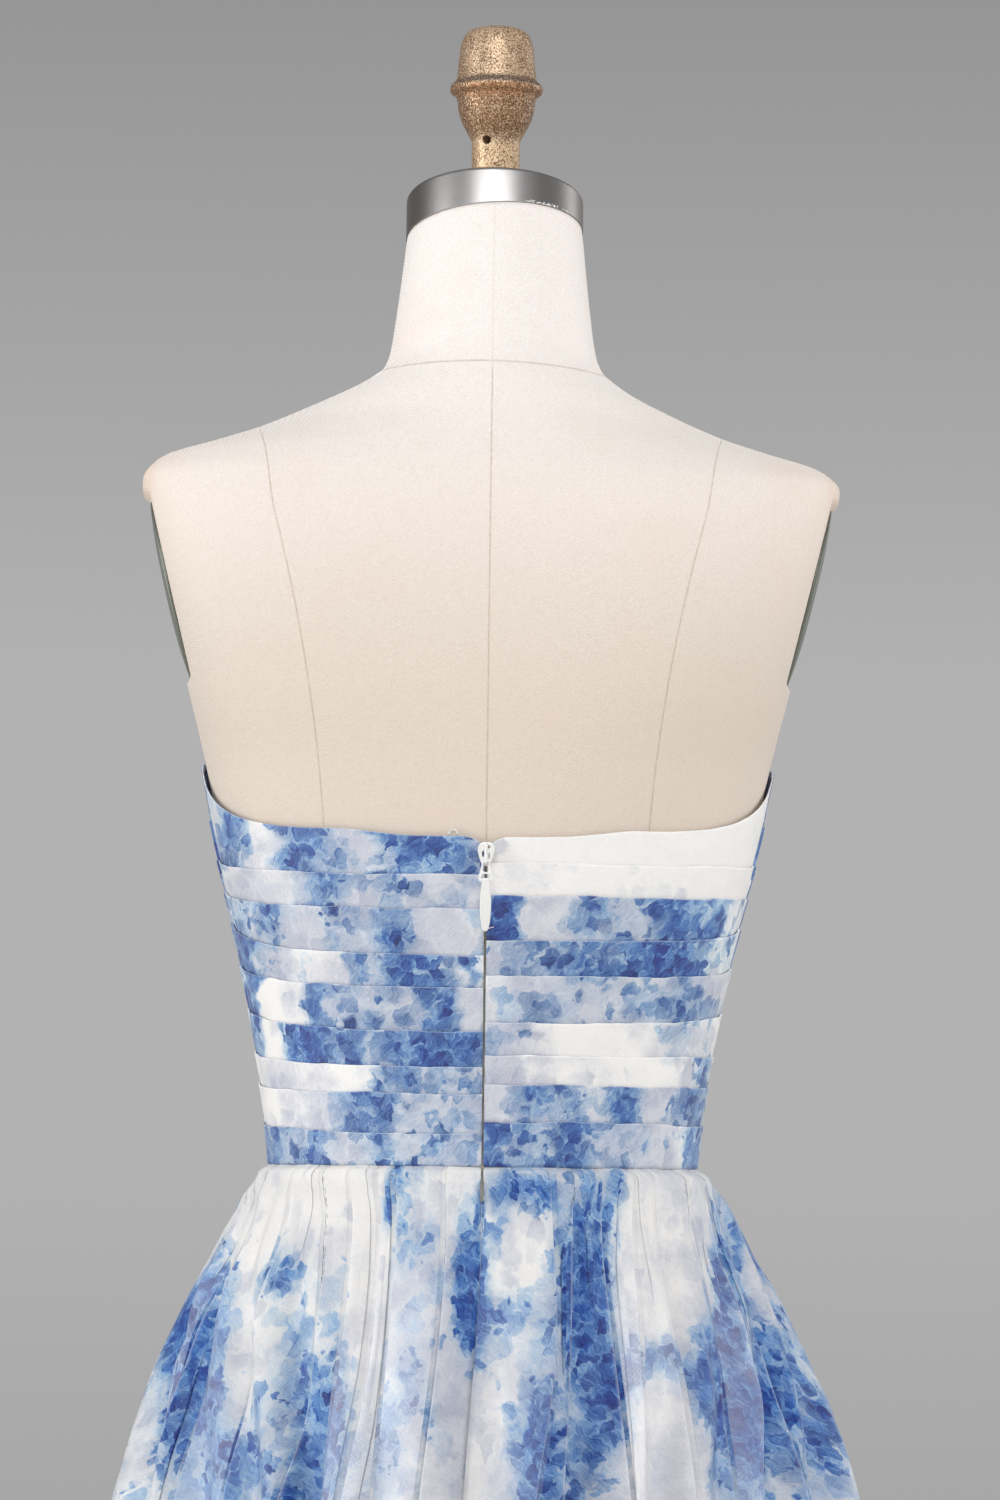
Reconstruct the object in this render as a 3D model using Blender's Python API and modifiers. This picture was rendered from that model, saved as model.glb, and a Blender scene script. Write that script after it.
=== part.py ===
"""Strapless midi dress standing on a limbless dress form.

Metres, +Z up. The origin is on the floor, under the middle of the stand's base.
The front of the dress faces -Y, its zip runs down the back, which faces +Y, and +X is the
wearer's left. Angles go round the body from the left side seam (0), over the centre back (90)
and the right side seam (180), to the centre front (270).
"""
import math

import bmesh
import bpy
from mathutils import Matrix, Vector

# Heights of the dress.
WAIST = 1.040              # the seam between bodice and skirt
HEM = 0.300
LINING_HEM = 0.335
BACK_TOP = 0.1720          # top edge of the bodice above the waist, at the centre back
SIDE_RISE = 0.0420         # how far the top edge climbs from there to the side seam
CUP_TOP = 0.2440           # top edge over the cups, above the waist
DIP_TOP = 0.2120           # top edge at the centre front, above the waist

# Cloth.
SEAM_GAP = 0.0003
BODICE_WALL = 0.0016
PLEAT_PROUD = 0.0010       # how far a pleat's folded upper edge stands out
PLEAT_STEP = 0.0009        # half the height of the step at a pleat's edge
BODICE_EASE = 0.0007       # air between the form and the bodice
CUP_EASE = 0.0030          # more air over the bust, where the cups bridge it
SKIRT_WALL = 0.0015
LINING_WALL = 0.0010
LINING_EASE = 0.0006       # air between the lining and the deepest fold, at the waist
LINING_SPREAD = 0.004      # how much more air there is for each metre below it

# Zip.
ZIP_GAP = 0.0032           # the back panels' distance along the zip
ZIP_WIDTH = 0.0024
ZIP_WALL = 0.0012
ZIP_TOP = WAIST + 0.1690
ZIP_END = WAIST - 0.0180
ZIP_LIFT = 0.0009          # of the zip's inner face off the bodice's
SLIDER_HEIGHT = 0.0125
SLIDER_WIDTH = 0.0094
SLIDER_DEPTH = 0.0026
SLIDER_BASE = WAIST + 0.1565
BRIDGE_WIRE = 0.00055
BRIDGE_STAND = 0.0028      # from the slider's face to the middle of the bridge
PULL_WIRE = 0.0006
PULL_REACH = 0.0011        # from the slider's face to the pull's axis
PULL_DROP = 0.0025         # from the slider's lower end up to the pull's axis
CROWN_HALF_WIDTH = 0.0034
CROWN_HEIGHT = 0.0088
TAB_LENGTH = 0.0365
TAB_HALF_WIDTH = 0.0031
TAB_THICKNESS = 0.0010

# Form and stand.
FORM_BASE = 0.785
NECK_LEVEL = 1.5403        # the neck's upper edge, at its sides
NECK_TILT = math.radians(14)
NECK_CENTRE_Y = -0.010
CAP_RADIUS = 0.0482
CAP_HEIGHT = 0.0213
CAP_EDGE = 0.0035
PLATE_TOP = (0.1860, 1.3948)       # upper end of an arm plate's outer face, across and up
PLATE_FOOT = (0.1630, 1.2992)      # its lower end
PLATE_THICKNESS = 0.0040
PLATE_HALF_DEPTH = 0.0400
PLATE_CENTRE_Y = 0.0135
POLE_RADIUS = 0.016
BASE_RADIUS = 0.190
BASE_HEIGHT = 0.070
PIN_HOLE_RADIUS = 0.0024
PIN_HOLE_LEVEL = 1.5925
PIN_HOLE_TURN = math.radians(22)   # round the finial's stem, from the back towards the left

# Mesh fineness.
BODY_COLUMNS = 40          # round the form and the bodice
FOLD_SAMPLES = 6           # for each fold of the skirt
LINING_COLUMNS = 40
TURN_STEPS = 32

# The form's level sections: its height at the sides, its half width there, how far it reaches
# back and front, how square it is and how far it leans (its rise for each metre towards the back).
FORM_COLUMNS = ("level", "half_width", "back", "front", "squareness", "lean")
FORM_SECTIONS = (
    (0.785, 0.1400, 0.092, 0.078, 2.2, 0.00),
    (0.800, 0.1520, 0.103, 0.088, 2.2, 0.00),
    (0.840, 0.1640, 0.114, 0.098, 2.2, 0.00),
    (0.900, 0.1590, 0.110, 0.102, 2.2, 0.00),
    (0.960, 0.1420, 0.097, 0.100, 2.2, 0.00),
    (1.000, 0.1260, 0.087, 0.093, 2.2, 0.00),
    (1.040, 0.1140, 0.082, 0.088, 2.2, 0.00),
    (1.080, 0.1175, 0.084, 0.090, 2.2, 0.00),
    (1.130, 0.1253, 0.093, 0.097, 2.2, 0.00),
    (1.173, 0.1342, 0.101, 0.103, 2.3, 0.00),
    (1.215, 0.1440, 0.107, 0.105, 2.3, 0.00),
    (1.249, 0.1505, 0.110, 0.103, 2.4, 0.00),
    (1.292, 0.1608, 0.112, 0.096, 2.8, 0.00),
    (1.345, 0.1745, 0.110, 0.084, 3.2, 0.00),
    (1.385, 0.1845, 0.105, 0.075, 3.0, 0.00),
    (1.4056, 0.1874, 0.097, 0.064, 2.7, 0.03),
    (1.4164, 0.1845, 0.090, 0.057, 2.3, 0.07),
    (1.4245, 0.1640, 0.084, 0.054, 2.0, 0.11),
    (1.4326, 0.1404, 0.078, 0.052, 1.8, 0.16),
    (1.4434, 0.1129, 0.071, 0.051, 1.8, 0.22),
    (1.4542, 0.0856, 0.064, 0.050, 1.8, 0.27),
    (1.4650, 0.0640, 0.058, 0.050, 1.9, 0.31),
    (1.4760, 0.0562, 0.054, 0.050, 2.0, 0.32),
    (1.4970, 0.0530, 0.048, 0.052, 2.0, 0.30),
    (1.5403, 0.0478, 0.0366, 0.0566, 2.0, 0.2493),
)

# The bust: two broad rounds of the general figure.
BUST_LEVEL = 1.193
BUST_OUT = 0.030
BUST_ACROSS = 0.076
BUST_HALF_WIDTH = 0.054
BUST_HALF_HEIGHT = 0.050

# Folded edges of the back's cross pleats, above the waist, at the zip and at the side seam.
LEFT_PLEATS = (
    (0.0178, 0.0232), (0.0382, 0.0443), (0.0523, 0.0610), (0.0711, 0.0848),
    (0.0936, 0.1080), (0.1104, 0.1296), (0.1344, 0.1463), (0.1522, 0.1636),
)
RIGHT_PLEATS = (
    (0.0241, 0.0232), (0.0434, 0.0443), (0.0586, 0.0610), (0.0758, 0.0848),
    (0.0999, 0.1080), (0.1182, 0.1296), (0.1417, 0.1463), (0.1585, 0.1636),
)
# The front's, at the side seam and at the centre front.
FRONT_PLEATS = (
    (0.0232, 0.0190), (0.0443, 0.0400), (0.0610, 0.0600), (0.0848, 0.0830), (0.1080, 0.1060),
    (0.1296, 0.1280), (0.1463, 0.1500), (0.1636, 0.1710), (0.1850, 0.1900),
)

# The skirt's outline below the waist: half width, half depth and the depth of the folds.
SKIRT_COLUMNS = ("drop", "half_width", "half_depth", "fold_depth")
SKIRT_SECTIONS = (
    (0.000, 0.1184, 0.0893, 0.0008),
    (0.004, 0.1184, 0.0893, 0.0008),
    (0.018, 0.1300, 0.1000, 0.0025),
    (0.050, 0.1490, 0.1180, 0.0060),
    (0.090, 0.1675, 0.1340, 0.0090),
    (0.130, 0.1860, 0.1490, 0.0120),
    (0.180, 0.2020, 0.1650, 0.0160),
    (0.350, 0.2470, 0.2070, 0.0230),
    (0.550, 0.2960, 0.2530, 0.0290),
    (0.740, 0.3400, 0.2930, 0.0330),
)
SKIRT_ROWS = (0.0003, 0.004, 0.018, 0.050, 0.090, 0.150, 0.240, 0.400, 0.570, 0.740)
SKIRT_CENTRE_Y = -0.003
SKIRT_SQUARENESS = 2.2

# Each skirt panel's folds, by their crests: the crest's place across the panel at the waist and
# once the skirt hangs free, and how high it stands. The back panels start at the side seam (left)
# and at the centre back (right).
LEFT_FOLDS = (
    (0.13, 0.10, 0.90), (0.27, 0.33, 0.65), (0.40, 0.52, 1.00), (0.66, 0.69, 0.75), (0.88, 0.89, 0.95),
)
RIGHT_FOLDS = (
    (0.15, 0.12, 1.00), (0.38, 0.36, 0.75), (0.53, 0.54, 0.95), (0.73, 0.71, 0.65), (0.89, 0.91, 0.90),
)
FRONT_FOLDS = (
    (0.05, 0.06, 0.95), (0.14, 0.15, 0.70), (0.25, 0.25, 1.00), (0.36, 0.36, 0.75), (0.47, 0.46, 0.90),
    (0.57, 0.57, 0.70), (0.68, 0.67, 1.00), (0.79, 0.78, 0.65), (0.88, 0.87, 0.85), (0.96, 0.95, 0.95),
)
FREE_DROP = 0.180          # below this drop the folds and seams hang free
SIDE_SEAM_SWING = 28.0     # degrees that a side seam swings back down to there
BACK_SEAM_SWING = 2.0      # degrees that the back seam swings to the left

# The finial's outline from its dome down its stem: height and radius.
FINIAL_PROFILE = (
    (1.6556, 0.0000), (1.6552, 0.0080), (1.6528, 0.0150), (1.6470, 0.0193), (1.6390, 0.0208),
    (1.6330, 0.0219), (1.6318, 0.0240), (1.6285, 0.0256), (1.6250, 0.0248), (1.6232, 0.0228),
    (1.6120, 0.0222), (1.6050, 0.0196), (1.5990, 0.0158), (1.5960, 0.0134), (1.5600, 0.0130),
)

# Colours, roughness and metallic value of each finish.
FINISHES = {
    "printed_chiffon": ((0.60, 0.68, 0.84), 0.70, 0.0),
    "white_lining": ((0.90, 0.90, 0.90), 0.65, 0.0),
    "cream_twill": ((0.86, 0.79, 0.70), 0.90, 0.0),
    "brushed_metal": ((0.62, 0.60, 0.58), 0.35, 1.0),
    "antique_gold": ((0.42, 0.27, 0.13), 0.55, 0.6),
    "plate_metal": ((0.22, 0.22, 0.19), 0.50, 0.8),
    "white_enamel": ((0.85, 0.85, 0.84), 0.35, 0.0),
    "zip_tape": ((0.62, 0.60, 0.55), 0.60, 0.0),
    "stand_enamel": ((0.08, 0.08, 0.08), 0.45, 0.0),
}


def clear_scene():
    """Remove whatever the scene holds."""
    for item in list(bpy.data.objects):
        bpy.data.objects.remove(item, do_unlink=True)


def make_collections():
    """One collection for the parts and one for the cutters."""
    made = []
    for name in ("dress_on_form", "cutters"):
        collection = bpy.data.collections.new(name)
        bpy.context.scene.collection.children.link(collection)
        made.append(collection)
    return made


def make_finishes():
    """A Principled BSDF material for each finish."""
    finishes = {}
    for name, (colour, roughness, metallic) in FINISHES.items():
        material = bpy.data.materials.new(name)
        material.use_nodes = True
        shader = material.node_tree.nodes["Principled BSDF"]
        shader.inputs["Base Color"].default_value = (*colour, 1.0)
        shader.inputs["Roughness"].default_value = roughness
        shader.inputs["Metallic"].default_value = metallic
        material.diffuse_color = (*colour, 1.0)
        finishes[name] = material
    return finishes


# ---------------------------------------------------------------- shapes worked out by formula

def mix(start, end, share):
    return start + (end - start) * share


def ease(share):
    """A smooth step from 0 to 1."""
    share = min(max(share, 0.0), 1.0)
    return share * share * (3 - 2 * share)


def read_table(table, columns, name, place):
    """One column's value at a place, on a smooth curve through the rows that never overshoots."""
    index = columns.index(name)
    places = [row[0] for row in table]
    values = [row[index] for row in table]
    if place <= places[0]:
        return values[0]
    if place >= places[-1]:
        return values[-1]
    slopes = [(values[i + 1] - values[i]) / (places[i + 1] - places[i]) for i in range(len(places) - 1)]

    def tangent(i):
        if i == 0 or i == len(places) - 1:
            return slopes[min(i, len(slopes) - 1)]
        before, after = slopes[i - 1], slopes[i]
        return 0.0 if before * after <= 0 else 2 * before * after / (before + after)

    i = max(k for k in range(len(places) - 1) if places[k] <= place)
    step = places[i + 1] - places[i]
    t = (place - places[i]) / step
    return (
        values[i] * (1 + 2 * t) * (1 - t) ** 2
        + values[i + 1] * t * t * (3 - 2 * t)
        + tangent(i) * step * t * (1 - t) ** 2
        - tangent(i + 1) * step * t * t * (1 - t)
    )


def oval(half_width, half_depth, squareness, angle):
    """A point on a squared oval, by its angle in degrees."""
    across, deep = math.cos(math.radians(angle)), math.sin(math.radians(angle))
    power = 2 / squareness
    return (
        math.copysign(half_width * abs(across) ** power, across),
        math.copysign(half_depth * abs(deep) ** power, deep),
    )


def arm_cut(height):
    """Where the armhole's flat seat lies, across from the middle, at a height."""
    rise = PLATE_TOP[1] - PLATE_FOOT[1]
    share = (height - PLATE_FOOT[1]) / rise
    slant = math.hypot(PLATE_TOP[0] - PLATE_FOOT[0], rise) / rise
    return mix(PLATE_FOOT[0], PLATE_TOP[0], share) - (PLATE_THICKNESS + SEAM_GAP) * slant


def form_point(level, angle):
    """A point on the form's skin."""
    def value(name):
        return read_table(FORM_SECTIONS, FORM_COLUMNS, name, level)

    centre = (value("back") - value("front")) / 2
    half_depth = (value("back") + value("front")) / 2
    x, y = oval(value("half_width"), half_depth, value("squareness"), angle)
    if PLATE_FOOT[1] - 0.002 < level < PLATE_TOP[1] + 0.002:
        x = max(-arm_cut(level), min(arm_cut(level), x))
    if y < 0:
        y -= BUST_OUT * bust_swell(x, level, 1.0) * ease(-y / half_depth)
    return Vector((x, centre + y, level + value("lean") * y))


def bust_swell(x, level, spread):
    """1 at the middle of either side of the bust, falling to 0 around it."""
    across = (abs(x) - BUST_ACROSS) / BUST_HALF_WIDTH / spread
    up = (level - BUST_LEVEL) / BUST_HALF_HEIGHT / spread
    return math.exp(-across ** 2 - up ** 2)


def form_normal(level, angle):
    """The level direction straight out of the form."""
    step = 0.5
    along = form_point(level, angle + step) - form_point(level, angle - step)
    return Vector((along.y, -along.x, 0)).normalized()


def bodice_point(angle, height, lift):
    """A point in the bodice: above the waist by height, and lifted off the form's ease by lift."""
    level = WAIST + height
    skin = form_point(level, angle)
    cup = CUP_EASE * bust_swell(skin.x, level, 1.6) if skin.y < 0 else 0.0
    return skin + form_normal(level, angle) * (BODICE_EASE + cup + lift)


def skirt_point(angle, drop, inset):
    """A point below the waist by drop, inside the skirt's outline by inset."""
    half_width = read_table(SKIRT_SECTIONS, SKIRT_COLUMNS, "half_width", drop) - inset
    half_depth = read_table(SKIRT_SECTIONS, SKIRT_COLUMNS, "half_depth", drop) - inset
    x, y = oval(half_width, half_depth, SKIRT_SQUARENESS, angle)
    return Vector((x, SKIRT_CENTRE_Y + y, WAIST - drop))


def side_seam(drop):
    """How far the side seams have swung towards the back."""
    return SIDE_SEAM_SWING * ease(drop / FREE_DROP)


def back_seam(drop):
    """The back seam's angle: straight below the zip, then swinging to the left."""
    return 90 - BACK_SEAM_SWING * ease((drop - 0.030) / FREE_DROP)


def fold_places(folds, drop):
    """Valleys and crests across a panel in turn, from one edge to the other."""
    crests = [mix(waist, free, ease(drop / FREE_DROP)) for waist, free, _ in folds]
    valleys = [0.0] + [(a + b) / 2 for a, b in zip(crests, crests[1:])] + [1.0]
    places = [valleys[0]]
    for crest, valley in zip(crests, valleys[1:]):
        places += [crest, valley]
    return places


def fold_shares(folds, drop):
    """Places across a panel, the same number in every fold, with each one's height from 0 to 1."""
    places = fold_places(folds, drop)
    samples = []
    for i, (start, end) in enumerate(zip(places, places[1:])):
        top = folds[i // 2][2]
        for k in range(FOLD_SAMPLES // 2):
            turn = 2 * k / FOLD_SAMPLES
            rise = 0.5 * (1 - math.cos(math.pi * turn))
            samples.append((mix(start, end, turn), top * (rise if i % 2 == 0 else 1 - rise)))
    return samples + [(1.0, 0.0)]


# ---------------------------------------------------------------- objects

def add_object(name, mesh, collection, finish=None):
    item = bpy.data.objects.new(name, mesh)
    collection.objects.link(item)
    if finish is not None:
        mesh.materials.append(finish)
    return item


def mesh_from_rows(name, rows, closed_round, capped):
    """A loft through rows of points, with its faces pointing out."""
    shape = bmesh.new()
    lines = [[shape.verts.new(point) for point in row] for row in rows]
    count = len(rows[0])
    for lower, upper in zip(lines, lines[1:]):
        for i in range(count if closed_round else count - 1):
            following = (i + 1) % count
            shape.faces.new((lower[i], lower[following], upper[following], upper[i]))
    if capped:
        shape.faces.new(list(reversed(lines[0])))
        shape.faces.new(lines[-1])
    mesh = bpy.data.meshes.new(name)
    shape.to_mesh(mesh)
    shape.free()
    return mesh


def cloth_panel(name, rows, wall, collection, finish, closed_round=False, side=1):
    """A cloth wall from one face through the rows, thickened outwards (side 1) or inwards (-1)."""
    item = add_object(name, mesh_from_rows(name, rows, closed_round, False), collection, finish)
    thicken = item.modifiers.new("cloth_wall", "SOLIDIFY")
    thicken.thickness = wall
    thicken.offset = side
    return item


def turned(name, profile, collection, finish, centre=(0, 0), steps=TURN_STEPS):
    """A shape turned about a vertical axis, from a profile that runs down its outer side."""
    shape = bmesh.new()
    points = [shape.verts.new((radius, 0, height)) for height, radius in profile]
    for upper, lower in zip(points, points[1:]):
        shape.edges.new((upper, lower))
    mesh = bpy.data.meshes.new(name)
    shape.to_mesh(mesh)
    shape.free()
    item = add_object(name, mesh, collection, finish)
    item.location = (*centre, 0)
    turn = item.modifiers.new("turn", "SCREW")
    turn.steps = steps
    turn.render_steps = steps
    turn.use_merge_vertices = True
    turn.merge_threshold = 0.00001
    return item


def wire_mesh(name, points, radius, cyclic, flat=None):
    """A bent wire as a welded mesh; flat is half the thickness of a filled outline instead."""
    curve = bpy.data.curves.new(name, "CURVE")
    curve.dimensions = "3D" if flat is None else "2D"
    spline = curve.splines.new("POLY")
    spline.points.add(len(points) - 1)
    for place, point in zip(spline.points, points):
        place.co = (*point, 1.0)
    spline.use_cyclic_u = cyclic
    if flat is None:
        curve.bevel_depth = radius
        curve.bevel_resolution = 2
        curve.use_fill_caps = not cyclic
    else:
        curve.fill_mode = "BOTH"
        curve.extrude = flat
    holder = bpy.data.objects.new(name + "_curve", curve)
    bpy.context.scene.collection.objects.link(holder)
    bpy.context.view_layer.update()
    evaluated = holder.evaluated_get(bpy.context.evaluated_depsgraph_get())
    mesh = bpy.data.meshes.new_from_object(evaluated)
    bpy.data.objects.remove(holder, do_unlink=True)
    shape = bmesh.new()
    shape.from_mesh(mesh)
    bmesh.ops.remove_doubles(shape, verts=shape.verts, dist=0.00001)
    shape.to_mesh(mesh)
    shape.free()
    return mesh


def hide_cutter(item):
    item.hide_render = True
    item.display_type = "WIRE"


def add_boolean(item, other, operation):
    change = item.modifiers.new(other.name, "BOOLEAN")
    change.operation = operation
    change.object = other
    hide_cutter(other)


# ---------------------------------------------------------------- the form and its stand

def form_levels():
    """The heights of the form's rings, closer where it bends and at the armhole's two lips."""
    lips = (PLATE_FOOT[1] - 0.0030, PLATE_FOOT[1] - 0.0012, PLATE_TOP[1] + 0.0012, PLATE_TOP[1] + 0.0030)
    hips = (0.785, 0.800, 0.840, 0.900, 0.960, 1.000, 1.020, 1.034, 1.040)
    bodice = (1.085, 1.125, 1.155, 1.180, 1.205, 1.230, 1.260)
    shoulders = (1.340, 1.375, 1.4056, 1.4125, 1.4164, 1.4245, 1.4326, 1.4434, 1.4542, 1.4650)
    neck = (1.4760, 1.4970, 1.5180, NECK_LEVEL)
    return sorted(hips + bodice + lips + shoulders + neck)


def make_form(collection, finish):
    angles = [360 * i / BODY_COLUMNS for i in range(BODY_COLUMNS)]
    rows = [[form_point(level, angle) for angle in angles] for level in form_levels()]
    add_object("form_torso", mesh_from_rows("form_torso", rows, True, True), collection, finish)


def neck_frame():
    """Where the neck's tilted upper face lies."""
    return Matrix.Translation((0, NECK_CENTRE_Y, NECK_LEVEL)) @ Matrix.Rotation(NECK_TILT, 4, "X")


def make_neck_cap(collection, finish):
    edge = [
        (CAP_HEIGHT - CAP_EDGE * (1 - math.cos(turn)), CAP_RADIUS - CAP_EDGE * (1 - math.sin(turn)))
        for turn in (math.radians(30 * k) for k in range(4))
    ]
    profile = [(CAP_HEIGHT, 0)] + edge + [(SEAM_GAP, CAP_RADIUS), (SEAM_GAP, 0)]
    cap = turned("neck_cap", profile, collection, finish)
    cap.matrix_world = neck_frame()


def make_finial(collection, cutters, finish):
    foot = (FINIAL_PROFILE[-1][0], 0.0)
    finial = turned("finial", FINIAL_PROFILE + (foot,), collection, finish, (0, NECK_CENTRE_Y))

    bpy.ops.mesh.primitive_cube_add(size=2 * CAP_RADIUS)
    seat = bpy.context.object
    seat.name = "finial_seat"
    below = Matrix.Translation((0, 0, CAP_HEIGHT + SEAM_GAP - CAP_RADIUS))
    seat.matrix_world = neck_frame() @ below

    bpy.ops.mesh.primitive_cylinder_add(vertices=12, radius=PIN_HOLE_RADIUS, depth=4 * CAP_RADIUS)
    hole = bpy.context.object
    hole.name = "finial_pin_hole"
    lay_down = Matrix.Rotation(math.radians(90), 4, "X")
    turn = Matrix.Rotation(-PIN_HOLE_TURN, 4, "Z")
    hole.matrix_world = Matrix.Translation((0, NECK_CENTRE_Y, PIN_HOLE_LEVEL)) @ turn @ lay_down

    for cutter in (seat, hole):
        for holder in list(cutter.users_collection):
            holder.objects.unlink(cutter)
        cutters.objects.link(cutter)
        add_boolean(finial, cutter, "DIFFERENCE")


def make_arm_plates(collection, finish):
    """An oval plate seated on each armhole's flat, leaning as the shoulder does."""
    across = PLATE_TOP[0] - PLATE_FOOT[0]
    rise = PLATE_TOP[1] - PLATE_FOOT[1]
    lean = math.atan2(across, rise)
    for name, side in (("arm_plate_left", 1), ("arm_plate_right", -1)):
        shape = bmesh.new()
        bmesh.ops.create_cone(shape, cap_ends=True, segments=28, radius1=1, radius2=1, depth=PLATE_THICKNESS)
        bmesh.ops.scale(shape, vec=(math.hypot(across, rise) / 2, PLATE_HALF_DEPTH, 1), verts=shape.verts)
        mesh = bpy.data.meshes.new(name)
        shape.to_mesh(mesh)
        shape.free()
        plate = add_object(name, mesh, collection, finish)
        stand_up = Matrix.Rotation(side * (math.radians(90) + lean), 4, "Y")
        outer = Vector((side * (PLATE_TOP[0] + PLATE_FOOT[0]) / 2, PLATE_CENTRE_Y, (PLATE_TOP[1] + PLATE_FOOT[1]) / 2))
        inward = Vector((-side * math.cos(lean), 0, math.sin(lean))) * PLATE_THICKNESS / 2
        plate.matrix_world = Matrix.Translation(outer + inward) @ stand_up
        soften = plate.modifiers.new("rim", "BEVEL")
        soften.width = 0.0015
        soften.segments = 2


def make_stand(collection, finish):
    collar = POLE_RADIUS + 0.012
    rim = 0.012
    profile = (
        (BASE_HEIGHT, 0), (BASE_HEIGHT, collar - 0.002), (BASE_HEIGHT - 0.002, collar), (0.042, collar + 0.002),
        (0.034, collar + 0.012), (0.026, BASE_RADIUS - 0.020), (rim + 0.004, BASE_RADIUS - 0.003),
        (rim, BASE_RADIUS), (0.002, BASE_RADIUS), (0, BASE_RADIUS - 0.002), (0, 0),
    )
    turned("stand_base", profile, collection, finish)
    bpy.ops.mesh.primitive_cylinder_add(
        vertices=20, radius=POLE_RADIUS, depth=FORM_BASE - BASE_HEIGHT - 2 * SEAM_GAP,
        location=(0, 0, (FORM_BASE + BASE_HEIGHT) / 2))
    pole = bpy.context.object
    pole.name = "stand_pole"
    pole.data.materials.append(finish)
    for holder in list(pole.users_collection):
        holder.objects.unlink(pole)
    collection.objects.link(pole)


# ---------------------------------------------------------------- the bodice

def back_top(angle):
    """The back's top edge above the waist: level, then climbing to the side seam."""
    away = 1 - abs(math.sin(math.radians(angle)))
    return BACK_TOP + 0.004 * ease(away * 8) + (SIDE_RISE - 0.004) * away ** 2.4


def front_top(angle):
    """The front's top edge above the waist: two cups with a dip between them."""
    side = BACK_TOP + SIDE_RISE
    to_centre = 1 - abs(angle - 270) / 90
    climb = mix(side, CUP_TOP, ease(to_centre / 0.60))
    return mix(climb, DIP_TOP, ease((to_centre - 0.60) / 0.40))


def pleat_line(pleat, share):
    """A pleat's folded edge above the waist: nearly level, then bending towards the panel's side."""
    start, end = pleat
    return mix(start, end, share ** 2.5)


def bodice_rows(angles, shares, pleats, top):
    """Rows up a panel: each pleat rises to its proud folded edge, and the next starts behind it."""
    rows = [[bodice_point(angle, 0.0, 0.0) for angle in angles]]
    for pleat in pleats:
        for side, lift in ((-PLEAT_STEP, PLEAT_PROUD), (PLEAT_STEP, 0.0)):
            rows.append([
                bodice_point(angle, pleat_line(pleat, share) + side, lift)
                for angle, share in zip(angles, shares)
            ])
    rows.append([bodice_point(angle, top(angle), PLEAT_PROUD / 2) for angle in angles])
    return rows


def panel_angles(start, end, start_gap, end_gap, radius):
    """Angles across a bodice panel on the form's own columns, with its seams drawn back."""
    step = 360 / BODY_COLUMNS
    count = round((end - start) / step)
    angles = [start + step * i for i in range(count + 1)]
    angles[0] += math.degrees(start_gap / 2 / radius)
    angles[-1] -= math.degrees(end_gap / 2 / radius)
    return angles


def make_bodice(collection, finish):
    side_radius = 0.100
    back_radius = 0.118
    left = panel_angles(0, 90, SEAM_GAP, 0, side_radius)
    right = panel_angles(90, 180, 0, SEAM_GAP, side_radius)
    left[-1] -= math.degrees(ZIP_GAP / 2 / back_radius)
    right[0] += math.degrees(ZIP_GAP / 2 / back_radius)
    front = panel_angles(180, 360, SEAM_GAP, SEAM_GAP, side_radius)
    panels = (
        ("bodice_back_left", left, [1 - a / 90 for a in left], LEFT_PLEATS, back_top),
        ("bodice_back_right", right, [(a - 90) / 90 for a in right], RIGHT_PLEATS, back_top),
        ("bodice_front", front, [1 - abs(a - 270) / 90 for a in front], FRONT_PLEATS, front_top),
    )
    for name, angles, shares, pleats, top in panels:
        rows = bodice_rows(angles, shares, pleats, top)
        cloth_panel(name, rows, BODICE_WALL, collection, finish)


# ---------------------------------------------------------------- the skirt

def skirt_rows(start, end, folds, start_gap, end_gap):
    """Rows up a folded panel; its edges' angles and the gaps at them are functions of the drop."""
    rows = []
    for drop in reversed(SKIRT_ROWS):
        depth = read_table(SKIRT_SECTIONS, SKIRT_COLUMNS, "fold_depth", drop)
        row = [
            skirt_point(mix(start(drop), end(drop), share), drop, depth * (1 - height))
            for share, height in fold_shares(folds, drop)
        ]
        row[0] += (row[1] - row[0]).normalized() * start_gap(drop) / 2
        row[-1] += (row[-2] - row[-1]).normalized() * end_gap(drop) / 2
        rows.append(row)
    return rows


def seam(_drop):
    return SEAM_GAP


def zip_seam(drop):
    """The back seam: open for the zip's lower end, then sewn."""
    return ZIP_GAP if WAIST - drop > ZIP_END - 0.002 else SEAM_GAP


def right_side(drop):
    return 180 - side_seam(drop)


def left_side_again(drop):
    return 360 + side_seam(drop)


def make_skirt(collection, finish, lining_finish):
    panels = (
        ("skirt_back_left", side_seam, back_seam, LEFT_FOLDS, seam, zip_seam),
        ("skirt_back_right", back_seam, right_side, RIGHT_FOLDS, zip_seam, seam),
        ("skirt_front", right_side, left_side_again, FRONT_FOLDS, seam, seam),
    )
    for name, start, end, folds, start_gap, end_gap in panels:
        rows = skirt_rows(start, end, folds, start_gap, end_gap)
        cloth_panel(name, rows, SKIRT_WALL, collection, finish, side=-1)

    angles = [360 * i / LINING_COLUMNS for i in range(LINING_COLUMNS)]
    drops = [drop for drop in SKIRT_ROWS if drop < WAIST - LINING_HEM] + [WAIST - LINING_HEM]
    rows = []
    for drop in reversed(drops):
        depth = read_table(SKIRT_SECTIONS, SKIRT_COLUMNS, "fold_depth", drop)
        inset = SKIRT_WALL + depth + LINING_EASE + LINING_SPREAD * drop + LINING_WALL
        rows.append([skirt_point(angle, drop, inset) for angle in angles])
    cloth_panel("skirt_lining", rows, LINING_WALL, collection, lining_finish, closed_round=True)


# ---------------------------------------------------------------- the zip

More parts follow.
